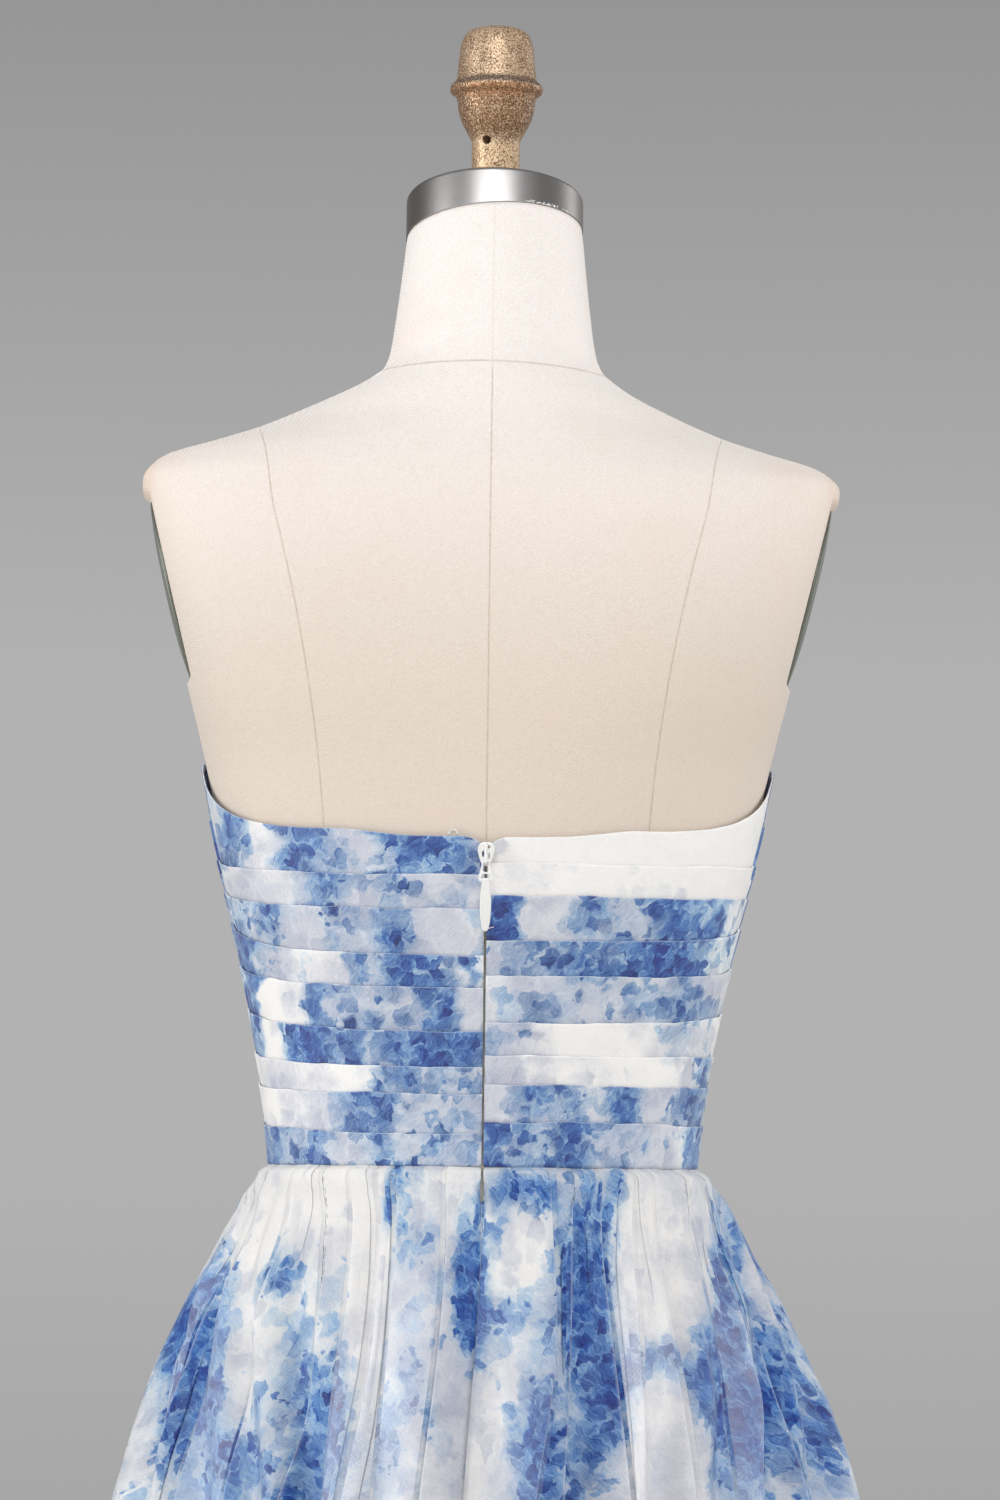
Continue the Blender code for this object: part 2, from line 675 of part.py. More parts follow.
def zip_seat(level):
    """How far back the zip's inner face lies at a height."""
    if level >= WAIST:
        return bodice_point(90, level - WAIST, ZIP_LIFT).y
    valley = read_table(SKIRT_SECTIONS, SKIRT_COLUMNS, "fold_depth", WAIST - level)
    return skirt_point(90, WAIST - level, valley + SKIRT_WALL).y


def make_zip_chain(collection, finish):
    levels = (ZIP_END, WAIST - 0.004, WAIST, 1.062, 1.085, 1.105, 1.125, 1.150, 1.175, ZIP_TOP)
    rows = [[Vector((side * ZIP_WIDTH / 2, zip_seat(level), level)) for side in (1, -1)] for level in levels]
    cloth_panel("zip_chain", rows, ZIP_WALL, collection, finish)


def slider_face():
    """How far back the slider's outer face lies."""
    proud = BODICE_WALL + PLEAT_PROUD + SEAM_GAP - ZIP_LIFT
    return zip_seat(SLIDER_BASE + SLIDER_HEIGHT) + proud + SLIDER_DEPTH


def pull_axis():
    return Vector((0, slider_face() + PULL_REACH, SLIDER_BASE + PULL_DROP))


def place_flat(mesh, y):
    """Stand a flat outline up, so that its drawn x and y become x and z."""
    mesh.transform(Matrix.Translation((0, y, 0)) @ Matrix.Rotation(math.radians(90), 4, "X"))


def make_slider(collection, cutters, finish):
    half = SLIDER_WIDTH / 2
    top = SLIDER_BASE + SLIDER_HEIGHT
    outline = [
        (-half * 0.55, top), (-half, top - 0.0022), (-half * 0.92, top - 0.0058), (-half * 0.62, SLIDER_BASE + 0.0012),
        (-half * 0.45, SLIDER_BASE), (half * 0.45, SLIDER_BASE), (half * 0.62, SLIDER_BASE + 0.0012),
        (half * 0.92, top - 0.0058), (half, top - 0.0022), (half * 0.55, top),
    ]
    body_mesh = wire_mesh("zip_slider", [(x, z, 0) for x, z in outline], 0, True, SLIDER_DEPTH / 2)
    place_flat(body_mesh, slider_face() - SLIDER_DEPTH / 2)
    body = add_object("zip_slider", body_mesh, collection, finish)

    low, high = SLIDER_BASE + 0.0011, top - 0.0012
    inside, out = slider_face() - 0.0010, slider_face() + BRIDGE_STAND
    bend = 0.0011
    route = [
        (0, inside, high), (0, out - bend, high), (0, out - bend * 0.3, high - bend * 0.3), (0, out, high - bend),
        (0, out, low + bend), (0, out - bend * 0.3, low + bend * 0.3), (0, out - bend, low), (0, inside, low),
    ]
    bridge = add_object("slider_bridge", wire_mesh("slider_bridge", route, BRIDGE_WIRE, False), cutters)
    add_boolean(body, bridge, "UNION")


def make_pull(collection, cutters, finish):
    """The crown that hangs in the bridge, and the drop-shaped tab below it."""
    axis = pull_axis()
    narrow = CROWN_HALF_WIDTH * 0.42
    crown_route = [
        (-CROWN_HALF_WIDTH, 0, 0), (CROWN_HALF_WIDTH, 0, 0),
        (CROWN_HALF_WIDTH * 0.86, 0, -CROWN_HEIGHT * 0.45), (narrow, 0, -CROWN_HEIGHT),
        (-narrow, 0, -CROWN_HEIGHT), (-CROWN_HALF_WIDTH * 0.86, 0, -CROWN_HEIGHT * 0.45),
    ]
    crown_mesh = wire_mesh("pull_crown", crown_route, PULL_WIRE, True)
    crown = add_object("pull_crown", crown_mesh, cutters)

    def half_width(share):
        return mix(narrow * 0.9, TAB_HALF_WIDTH, math.sin(math.pi / 2 * min(share / 0.62, 1.0)) ** 2)

    start = CROWN_HEIGHT - PULL_WIRE / 3
    length = TAB_LENGTH - start
    sides = [(half_width(k / 8 * 0.8), -start - length * k / 8 * 0.8) for k in range(9)]
    round_end = [
        (TAB_HALF_WIDTH * math.cos(turn), -start - length * (0.8 + 0.2 * math.sin(turn)))
        for turn in (math.radians(18 * k) for k in range(1, 6))
    ]
    half_outline = sides + round_end
    outline = half_outline + [(-x, z) for x, z in reversed(half_outline[:-1])]
    tab_mesh = wire_mesh("zip_pull", [(x, z, 0) for x, z in outline], 0, True, TAB_THICKNESS / 2)
    place_flat(tab_mesh, 0)
    pull = add_object("zip_pull", tab_mesh, collection, finish)

    hinge = bpy.data.objects.new("pull_hinge", None)
    collection.objects.link(hinge)
    hinge.location = axis
    pull.parent = hinge
    crown.parent = hinge
    add_boolean(pull, crown, "UNION")


def make_thread_eye(collection, finish):
    """A loop of thread standing on the top edge, beside the zip on the left."""
    radius, wire = 0.0021, 0.00035
    angle = 85.0
    foot = bodice_point(angle, back_top(angle), BODICE_WALL * 0.6)
    route = [
        foot + Vector((radius * math.cos(turn), 0, wire + 2 * SEAM_GAP + 1.3 * radius * math.sin(turn)))
        for turn in (math.radians(18 * k) for k in range(11))
    ]
    add_object("thread_eye", wire_mesh("thread_eye", route, wire, False), collection, finish)


def main():
    clear_scene()
    parts, cutters = make_collections()
    finishes = make_finishes()
    make_form(parts, finishes["cream_twill"])
    make_neck_cap(parts, finishes["brushed_metal"])
    make_finial(parts, cutters, finishes["antique_gold"])
    make_arm_plates(parts, finishes["plate_metal"])
    make_stand(parts, finishes["stand_enamel"])
    make_bodice(parts, finishes["printed_chiffon"])
    make_skirt(parts, finishes["printed_chiffon"], finishes["white_lining"])
    make_zip_chain(parts, finishes["zip_tape"])
    make_slider(parts, cutters, finishes["white_enamel"])
    make_pull(parts, cutters, finishes["white_enamel"])
    make_thread_eye(parts, finishes["white_enamel"])
    for item in parts.objects:
        if item.type == "MESH":
            item.data.shade_smooth()
            item.data.set_sharp_from_angle(angle=math.radians(35))


main()
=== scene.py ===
"""The looks of a strapless midi dress on a limbless dress form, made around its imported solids.

Metres, +Z up. The origin is on the floor, under the middle of the stand's base. The front of the
dress faces -Y, its zip runs down the back, which faces +Y, and +X is the wearer's left. Angles go
round the body from the left side seam (0), over the centre back (90) and the right side seam (180),
to the centre front (270). A drop is a distance below the waist seam, and a height is one above it.
"""

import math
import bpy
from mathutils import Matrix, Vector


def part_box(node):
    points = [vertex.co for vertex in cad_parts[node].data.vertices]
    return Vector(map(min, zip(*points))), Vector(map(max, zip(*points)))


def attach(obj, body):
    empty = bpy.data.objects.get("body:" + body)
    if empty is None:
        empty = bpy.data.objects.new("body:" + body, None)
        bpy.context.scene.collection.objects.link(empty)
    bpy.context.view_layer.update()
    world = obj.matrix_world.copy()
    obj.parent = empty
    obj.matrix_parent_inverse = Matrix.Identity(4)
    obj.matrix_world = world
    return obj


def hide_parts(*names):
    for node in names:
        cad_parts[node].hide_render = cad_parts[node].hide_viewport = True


bl_info = {
    "name": "Strapless Midi Dress on a Dress Form",
    "version": (1, 0, 0),
    "blender": (4, 5, 0),
    "location": "3D View > Sidebar > Dress",
    "description": "Cross-pleated bodice, gathered printed skirt, zip, and the dress form under them",
    "category": "Add Mesh",
}

import bmesh
import bpy
import numpy as np
from bpy.props import FloatProperty, FloatVectorProperty, IntProperty, PointerProperty
from mathutils import Matrix, Vector

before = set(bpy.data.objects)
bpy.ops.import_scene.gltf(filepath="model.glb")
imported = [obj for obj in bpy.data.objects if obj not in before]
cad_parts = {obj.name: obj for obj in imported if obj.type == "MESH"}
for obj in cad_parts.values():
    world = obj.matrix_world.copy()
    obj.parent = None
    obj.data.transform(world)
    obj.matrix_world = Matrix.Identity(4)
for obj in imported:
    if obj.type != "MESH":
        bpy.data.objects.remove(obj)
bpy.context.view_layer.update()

DRESS_BODY = "dress_and_form"
PULL_BODY = "pull"

# ---------------------------------------------------------------- the part's own sizes

WAIST = 1.040
HEM_DROP = 0.740
LINING_DROP = 0.705
BACK_TOP = 0.1720
SIDE_RISE = 0.0420
CUP_TOP = 0.2440
DIP_TOP = 0.2120
BODICE_EASE = 0.0007
BODICE_RADIUS = 0.112          # about how far the back's edge at the zip is from the form's middle
CUP_EASE = 0.0030

PLATE_TOP = (0.1860, 1.3948)
PLATE_FOOT = (0.1630, 1.2992)
PLATE_SEAT = 0.0043            # from a plate's outer face in to the armhole's flat
PLATE_THICKNESS = 0.0040
PLATE_HALF_DEPTH = 0.0400
PLATE_CENTRE_Y = 0.0135
FORM_BASE = 0.785
NECK_LEVEL = 1.5458
NECK_TILT = math.radians(14)
NECK_CENTRE_Y = -0.010
CAP_RADIUS = 0.0482
CAP_HEIGHT = 0.0213
POLE_RADIUS = 0.016
BASE_RADIUS = 0.190
BASE_HEIGHT = 0.070

# The form's level sections: its height at the sides, its half width there, how far it reaches
# back and front, how square it is and how far it leans (its rise for each metre towards the back).
FORM_COLUMNS = ("level", "half_width", "back", "front", "squareness", "lean")
FORM_SECTIONS = (
    (0.785, 0.1400, 0.092, 0.078, 2.2, 0.00),
    (0.800, 0.1520, 0.103, 0.088, 2.2, 0.00),
    (0.840, 0.1640, 0.114, 0.098, 2.2, 0.00),
    (0.900, 0.1590, 0.110, 0.102, 2.2, 0.00),
    (0.960, 0.1420, 0.097, 0.100, 2.2, 0.00),
    (1.000, 0.1260, 0.087, 0.093, 2.2, 0.00),
    (1.040, 0.1140, 0.082, 0.088, 2.2, 0.00),
    (1.080, 0.1175, 0.084, 0.090, 2.2, 0.00),
    (1.130, 0.1253, 0.093, 0.097, 2.2, 0.00),
    (1.173, 0.1342, 0.101, 0.103, 2.3, 0.00),
    (1.215, 0.1440, 0.107, 0.105, 2.3, 0.00),
    (1.249, 0.1505, 0.110, 0.103, 2.4, 0.00),
    (1.292, 0.1608, 0.112, 0.096, 2.8, 0.00),
    (1.345, 0.1745, 0.110, 0.084, 3.2, 0.00),
    (1.385, 0.1845, 0.105, 0.075, 3.0, 0.00),
    (1.4056, 0.1874, 0.097, 0.064, 2.7, 0.03),
    (1.4164, 0.1800, 0.090, 0.057, 2.3, 0.07),
    (1.4245, 0.1560, 0.084, 0.054, 2.0, 0.11),
    (1.4326, 0.1310, 0.078, 0.052, 1.8, 0.16),
    (1.4434, 0.1030, 0.071, 0.051, 1.8, 0.22),
    (1.4542, 0.0775, 0.064, 0.050, 1.8, 0.27),
    (1.4650, 0.0612, 0.058, 0.050, 1.9, 0.31),
    (1.4760, 0.0562, 0.054, 0.050, 2.0, 0.32),
    (1.4970, 0.0530, 0.048, 0.052, 2.0, 0.30),
    (1.5458, 0.0476, 0.0366, 0.0566, 2.0, 0.2493),
)
RIGHT_SHOULDER_DROP = 0.0040
BUST_LEVEL = 1.193
BUST_OUT = 0.030
BUST_ACROSS = 0.076
BUST_HALF_WIDTH = 0.054
BUST_HALF_HEIGHT = 0.050
PRINCESS_LEVEL = 1.2147
NECK_SEAM_LEVEL = 1.468
SHARP_ANGLE = math.radians(40)

# Folded edges of the cross pleats above the waist: at the zip, or at the centre front, and at the
# side seam.
LEFT_PLEATS = (
    (0.0178, 0.0232), (0.0382, 0.0443), (0.0523, 0.0610), (0.0711, 0.0848),
    (0.0936, 0.1080), (0.1104, 0.1296), (0.1344, 0.1463), (0.1522, 0.1636),
)
RIGHT_PLEATS = (
    (0.0241, 0.0232), (0.0434, 0.0443), (0.0586, 0.0610), (0.0758, 0.0848),
    (0.0999, 0.1080), (0.1182, 0.1296), (0.1417, 0.1463), (0.1585, 0.1636),
)
FRONT_PLEATS = (
    (0.0190, 0.0232), (0.0400, 0.0443), (0.0600, 0.0610), (0.0830, 0.0848), (0.1060, 0.1080),
    (0.1280, 0.1296), (0.1500, 0.1463), (0.1710, 0.1636), (0.1900, 0.1850),
)

# The skirt's outline below the waist, and its large folds by their crests: the crest's place
# across the panel at the waist and once the skirt hangs free, and how high it stands.
SKIRT_COLUMNS = ("drop", "half_width", "half_depth", "fold_depth")
SKIRT_SECTIONS = (
    (0.000, 0.1184, 0.0893, 0.0008),
    (0.004, 0.1184, 0.0893, 0.0008),
    (0.018, 0.1300, 0.1000, 0.0025),
    (0.050, 0.1490, 0.1180, 0.0060),
    (0.090, 0.1675, 0.1340, 0.0090),
    (0.130, 0.1860, 0.1490, 0.0120),
    (0.180, 0.2020, 0.1650, 0.0160),
    (0.350, 0.2470, 0.2070, 0.0230),
    (0.550, 0.2960, 0.2530, 0.0290),
    (0.740, 0.3400, 0.2930, 0.0330),
)
SKIRT_CENTRE_Y = -0.003
SKIRT_SQUARENESS = 2.2
LEFT_FOLDS = (
    (0.13, 0.10, 0.90), (0.27, 0.33, 0.65), (0.40, 0.52, 1.00), (0.66, 0.69, 0.75), (0.88, 0.89, 0.95),
)
RIGHT_FOLDS = (
    (0.15, 0.12, 1.00), (0.38, 0.36, 0.75), (0.53, 0.54, 0.95), (0.73, 0.71, 0.65), (0.89, 0.91, 0.90),
)
FRONT_FOLDS = (
    (0.05, 0.06, 0.95), (0.14, 0.15, 0.70), (0.25, 0.25, 1.00), (0.36, 0.36, 0.75), (0.47, 0.46, 0.90),
    (0.57, 0.57, 0.70), (0.68, 0.67, 1.00), (0.79, 0.78, 0.65), (0.88, 0.87, 0.85), (0.96, 0.95, 0.95),
)
FREE_DROP = 0.180
WAIST_PUFF = (0.026, 0.036)    # how much wider the gathers stand just under the waist, left and right
RIGHT_FULLNESS = 0.042         # how much wider the skirt hangs at the wearer's right, below the hips
SEAM_GAP = 0.00015             # half the gap at a skirt's seam, at SKIRT_RADIUS from the middle
SKIRT_RADIUS = 0.12
WAIST_ROUND = 0.78             # about the skirt's length round the waist
SIDE_SEAM_SWING = 28.0
BACK_SEAM_SWING = 2.0
LINING_INSET = 0.0031          # from the deepest fold in to the lining's outer face, at the waist
LINING_SPREAD = 0.004
LINING_CUTS = (0.72, 2.00)     # the lining's flat widths at the waist and at its hem
HEM_ALLOWANCE = 0.020          # how much longer a skirt panel is cut than it hangs

# The finial's outline from its dome down its stem: height and radius.
FINIAL_PROFILE = (
    (1.6606, 0.0000), (1.6604, 0.0105), (1.6585, 0.0164), (1.6530, 0.0195), (1.6450, 0.0205),
    (1.6350, 0.0214), (1.6308, 0.0221), (1.6298, 0.0240), (1.6274, 0.0256), (1.6246, 0.0250),
    (1.6234, 0.0226), (1.6215, 0.0214), (1.6150, 0.0207), (1.6090, 0.0190), (1.6030, 0.0158),
    (1.5992, 0.0136), (1.5975, 0.0131), (1.5622, 0.0130),
)
PIN_HOLE_RADIUS = 0.0024
PIN_HOLE_LEVEL = 1.5972
PIN_HOLE_TURN = math.radians(22)

# The zip runs from ZIP_END below the waist to ZIP_TOP above it.
ZIP_END = 0.017
ZIP_TOP = 0.1685
SLIDER_BASE = WAIST + 0.1565
SLIDER_HEIGHT = 0.0125
SLIDER_WIDTH = 0.0094
SLIDER_DEPTH = 0.0026
BRIDGE_WIRE = 0.00055
BRIDGE_STAND = 0.0028
PULL_AXIS = (0.0, 0.113605, 1.199)
PULL_REACH = 0.0011
TAB_LENGTH = 0.0365
TAB_THICKNESS = 0.0010
THREAD_RADIUS = 0.00022
SWAY = 0.12                    # how far a coil turn or stitch lies off line, in radians

# ---------------------------------------------------------------- the cloth's smaller folds

# Knife folds of the skirt, from the middle line outwards: how far the folded edge lies across from
# that line at the waist, at MIDDLE_DROP and at FREE_DROP, the drops where the fold begins and ends,
# how much it laps over, how far it stands out, and how far the cloth between it and the next fold
# nearer the middle lies under one more sheer layer.
MIDDLE_DROP = 0.090
KNIFE_COLUMNS = ("waist", "middle", "free", "start", "end", "lap", "lift", "veil")
LEFT_KNIVES = (
    (0.0180, 0.0200, 0.0240, 0.045, 0.600, 0.004, 0.0012, 0.0),
    (0.0440, 0.0481, 0.0518, 0.016, 0.900, 0.009, 0.0022, 0.6),
    (0.0528, 0.0565, 0.0664, -0.02, 0.900, 0.007, 0.0026, 1.0),
    (0.0669, 0.0706, 0.0769, -0.02, 0.900, 0.009, 0.0024, 0.5),
    (0.0820, 0.0865, 0.0999, 0.060, 0.900, 0.007, 0.0018, 0.0),
    (0.0952, 0.1192, 0.1320, -0.02, 0.900, 0.013, 0.0032, 0.1),
    (0.1110, 0.1430, 0.1600, 0.010, 0.900, 0.010, 0.0028, 0.3),
    (0.1152, 0.1520, 0.1690, 0.020, 0.900, 0.007, 0.0026, 0.0),
    (0.1174, 0.1585, 0.1755, 0.020, 0.900, 0.006, 0.0022, 0.4),
)
RIGHT_KNIVES = (
    (0.0340, 0.0403, 0.0340, 0.012, 0.900, 0.008, 0.0022, 0.15),
    (0.0465, 0.0490, 0.0520, 0.016, 0.170, 0.006, 0.0018, 0.0),
    (0.0600, 0.0706, 0.0837, 0.000, 0.900, 0.009, 0.0024, 0.0),
    (0.0753, 0.0830, 0.0905, -0.02, 0.900, 0.008, 0.0024, 0.8),
    (0.0842, 0.1030, 0.1156, -0.02, 0.900, 0.009, 0.0022, 0.45),
    (0.1030, 0.1265, 0.1407, 0.030, 0.900, 0.010, 0.0028, 0.1),
    (0.1115, 0.1400, 0.1570, 0.010, 0.900, 0.008, 0.0026, 0.4),
    (0.1150, 0.1500, 0.1720, -0.02, 0.900, 0.008, 0.0030, 0.0),
)
FRONT_LEFT_KNIVES = (
    (0.0130, 0.0180, 0.0230, -0.02, 0.900, 0.008, 0.0024, 0.3),
    (0.0310, 0.0390, 0.0470, 0.015, 0.900, 0.009, 0.0026, 0.0),
    (0.0470, 0.0600, 0.0690, -0.02, 0.520, 0.007, 0.0020, 0.8),
    (0.0640, 0.0800, 0.0960, -0.02, 0.900, 0.010, 0.0030, 0.1),
    (0.0800, 0.1010, 0.1230, 0.040, 0.900, 0.008, 0.0022, 0.0),
    (0.0960, 0.1240, 0.1480, -0.02, 0.900, 0.010, 0.0028, 0.6),
    (0.1090, 0.1460, 0.1740, 0.010, 0.900, 0.008, 0.0026, 0.0),
    (0.1165, 0.1620, 0.1940, 0.020, 0.900, 0.007, 0.0024, 0.3),
)
FRONT_RIGHT_KNIVES = (
    (0.0110, 0.0150, 0.0170, 0.030, 0.900, 0.007, 0.0020, 0.3),
    (0.0260, 0.0330, 0.0410, -0.02, 0.900, 0.009, 0.0028, 0.7),
    (0.0430, 0.0540, 0.0620, -0.02, 0.900, 0.008, 0.0024, 0.0),
    (0.0580, 0.0730, 0.0880, 0.050, 0.560, 0.007, 0.0020, 0.2),
    (0.0740, 0.0940, 0.1120, -0.02, 0.900, 0.010, 0.0030, 0.9),
    (0.0900, 0.1150, 0.1380, 0.010, 0.900, 0.008, 0.0024, 0.0),
    (0.1060, 0.1400, 0.1660, -0.02, 0.900, 0.010, 0.0028, 0.4),
    (0.1150, 0.1590, 0.1900, 0.020, 0.900, 0.008, 0.0026, 0.0),
)

# Bouquets of the print on the skirt's back: place across (+ is the wearer's left) and down, their
# half width and half height, how full of blue they are and how full of grey; below 0 the cloth
# stays bare.
BACK_BOUQUETS = (
    (0.048, 0.012, 0.006, 0.014, 1.10, 0.0), (0.035, 0.004, 0.009, 0.005, 0.80, 0.2),
    (0.021, 0.020, 0.008, 0.018, -0.5, 0.1), (0.036, 0.054, 0.010, 0.020, 0.42, 0.1),
    (0.021, 0.060, 0.010, 0.018, 0.30, 0.2), (0.008, 0.066, 0.009, 0.032, 1.70, 0.1),
    (0.004, 0.022, 0.003, 0.012, 0.60, 0.2), (0.094, 0.024, 0.034, 0.034, -1.3, -0.3),
    (0.108, 0.060, 0.011, 0.024, 0.90, 0.0), (0.080, 0.052, 0.014, 0.014, 0.50, 0.1),
    (0.062, 0.060, 0.007, 0.060, -0.6, 0.1), (0.088, 0.134, 0.026, 0.040, 1.10, 0.0),
    (0.110, 0.174, 0.036, 0.016, 0.45, 0.1), (0.150, 0.105, 0.020, 0.070, 1.10, 0.0),
    (0.034, 0.115, 0.012, 0.026, 0.50, 0.3), (0.017, 0.135, 0.012, 0.030, -0.4, 0.1),
    (0.050, 0.160, 0.010, 0.020, 0.45, 0.3), (0.128, 0.160, 0.014, 0.020, 0.70, 0.1),
    (0.014, 0.108, 0.010, 0.030, 0.00, 0.9), (-0.022, 0.156, 0.018, 0.024, 0.50, 0.3),
    (-0.012, 0.106, 0.014, 0.020, -0.2, 0.2), (-0.010, 0.007, 0.010, 0.009, 0.85, 0.5),
    (-0.027, 0.010, 0.012, 0.010, 1.20, 0.1), (-0.008, 0.026, 0.006, 0.018, 0.30, 0.7),
    (-0.018, 0.042, 0.009, 0.014, -0.8, 0.0), (-0.020, 0.072, 0.020, 0.012, 0.55, 0.1),
    (-0.042, 0.045, 0.008, 0.050, 0.60, 0.6), (-0.057, 0.045, 0.011, 0.052, 0.95, 0.0),
    (-0.070, 0.010, 0.006, 0.012, 0.95, 0.1), (-0.098, 0.038, 0.024, 0.044, -1.2, -0.15),
    (-0.064, 0.112, 0.014, 0.032, 0.80, 0.2), (-0.030, 0.122, 0.012, 0.026, 0.70, 0.2),
    (-0.090, 0.104, 0.026, 0.010, 1.00, 0.0), (-0.099, 0.150, 0.020, 0.034, -0.7, 0.2),
    (-0.128, 0.042, 0.011, 0.042, 1.10, 0.0), (-0.142, 0.122, 0.026, 0.044, 1.30, 0.0),
    (-0.178, 0.150, 0.014, 0.030, 0.70, 0.4), (-0.040, 0.152, 0.026, 0.026, 0.65, 0.3),
    (-0.051, 0.085, 0.009, 0.090, 0.15, 0.5), (-0.118, 0.092, 0.010, 0.030, 0.20, 0.4),
)

# Bouquets on the bodice's back, band by band from the waist up: place across from the zip, half
# width, how full of blue and how full of grey.
LEFT_BLOOMS = (
    ((0.100, 0.022, 0.75, 0.2), (0.048, 0.020, 0.35, 0.2), (0.018, 0.016, 0.45, 0.2),
     (0.122, 0.008, 0.60, 0.0)),
    ((0.062, 0.016, 0.80, 0.1), (0.025, 0.022, 0.15, 0.6), (0.105, 0.020, -0.4, 0.0)),
    ((0.046, 0.010, 0.55, 0.2), (0.020, 0.018, 0.20, 0.6), (0.095, 0.028, -0.6, 0.0)),
    ((0.094, 0.014, 0.85, 0.0), (0.064, 0.018, 0.55, 0.3), (0.020, 0.022, 0.95, 0.1),
     (0.124, 0.005, 0.80, 0.0), (0.114, 0.006, -0.5, 0.0)),
    ((0.124, 0.006, 1.00, 0.0), (0.108, 0.010, -0.7, 0.0), (0.090, 0.006, 0.75, 0.1),
     (0.062, 0.024, 0.20, 0.7), (0.025, 0.013, 0.95, 0.2)),
    ((0.130, 0.008, 0.95, 0.0), (0.112, 0.008, 0.00, 0.4), (0.088, 0.014, -0.4, 0.0),
     (0.067, 0.006, 0.60, 0.1), (0.037, 0.022, 1.15, 0.0), (0.008, 0.004, 0.60, 0.2)),
    ((0.132, 0.006, 0.60, 0.0), (0.115, 0.011, 0.60, 0.3), (0.096, 0.008, 0.00, 0.5),
     (0.076, 0.009, 0.35, 0.4), (0.049, 0.010, 0.60, 0.1), (0.020, 0.018, -0.3, 0.1)),
    ((0.125, 0.012, -0.5, 0.3), (0.087, 0.012, 0.75, 0.1), (0.057, 0.018, 0.05, 0.5),
     (0.020, 0.020, -0.2, 0.3)),
    ((0.136, 0.012, 0.75, 0.1), (0.120, 0.004, -0.4, 0.1), (0.099, 0.013, 0.75, 0.1),
     (0.080, 0.009, 0.20, 0.4), (0.038, 0.022, 1.00, 0.0), (0.010, 0.006, 0.60, 0.1)),
)
RIGHT_BLOOMS = (
    ((0.007, 0.008, 1.00, 0.1), (0.024, 0.010, 0.50, 0.7), (0.047, 0.012, 0.85, 0.3),
     (0.082, 0.020, 0.05, 0.5), (0.114, 0.008, 0.75, 0.2)),
    ((0.004, 0.006, -0.4, 0.0), (0.024, 0.010, 0.50, 0.4), (0.046, 0.010, 0.30, 0.2),
     (0.074, 0.011, 1.05, 0.1), (0.090, 0.005, 0.10, 0.5), (0.112, 0.012, 0.75, 0.1)),
    ((0.008, 0.008, 0.00, 0.7), (0.060, 0.038, -0.9, -0.4), (0.118, 0.006, 0.70, 0.0)),
    ((0.010, 0.011, 0.25, 0.6), (0.060, 0.032, -0.9, -0.4), (0.115, 0.012, 0.00, 0.3)),
    ((0.035, 0.022, 0.00, 0.5), (0.068, 0.012, 0.00, 0.4), (0.107, 0.018, 0.60, 0.2)),
    ((0.014, 0.012, 0.35, 0.3), (0.045, 0.018, 0.50, 0.5), (0.090, 0.028, 1.15, 0.0)),
    ((0.010, 0.009, 0.95, 0.0), (0.028, 0.009, -0.3, 0.1), (0.060, 0.016, 0.50, 0.5),
     (0.105, 0.022, 0.85, 0.0)),
    ((0.070, 0.090, -1.6, -0.6),),
    ((0.070, 0.090, -1.6, -0.6), (0.144, 0.008, 0.60, 0.2)),
)


def paint(red, green, blue):
    """A colour as painters' charts give it, 0 to 255, turned into light."""
    def light(value):
        value /= 255
        return value / 12.92 if value <= 0.04045 else ((value + 0.055) / 1.055) ** 2.4
    return light(red), light(green), light(blue)


def size_prop(label, description, default):
    return FloatProperty(
        name=label, description=description, default=default, unit="LENGTH", precision=5)


def share_prop(label, description, default):
    return FloatProperty(
        name=label, description=description, default=default, min=0.0, max=1.0, subtype="FACTOR")


def plain_prop(label, description, default):
    return FloatProperty(name=label, description=description, default=default, min=0.0)


def colour_prop(label, description, default):
    return FloatVectorProperty(
        name=label, description=description, default=default, subtype="COLOR", size=3, min=0.0, max=1.0)


class PrintSettings(bpy.types.PropertyGroup):
    """The watercolour flower print: paints that darken each other where they lie over each other."""

    ground: colour_prop("Ground", "Bare white cloth", paint(243, 241, 238))
    blue: colour_prop("Blue", "White cloth under one full coat of blue", paint(90, 136, 192))
    grey: colour_prop("Grey", "White cloth under one full coat of grey-lavender", paint(156, 162, 184))
    petal: size_prop("Petal", "From one middling petal to the next", 0.0100)
    streak: size_prop("Streak", "How far the colour runs off line", 0.0030)
    bodice_veil: share_prop("Bodice veil", "How far the bodice's top layer greys the print", 0.05)


class BodiceSettings(bpy.types.PropertyGroup):
    """The cross-pleated bodice."""

    lowest: size_prop("Hidden lift", "How far a band's lower end lies off the form's ease", 0.0009)
    proud: size_prop("Proud", "How far a band's folded edge stands off the form's ease", 0.0028)
    roll: size_prop("Roll", "Radius of a folded edge", 0.00042)
    tuck: size_prop("Tuck", "How far a band runs down behind the next", 0.0040)
    turn: size_prop("Turn", "How far a folded edge runs back down inside", 0.0028)
    wobble: size_prop("Wobble", "How far a folded edge strays off line", 0.0006)
    zip_side: size_prop("Zip side", "From the zip's middle to the folded edge of the back", 0.00030)
    corner: size_prop("Corner", "Radius of the top edge's corners at the zip", 0.0068)


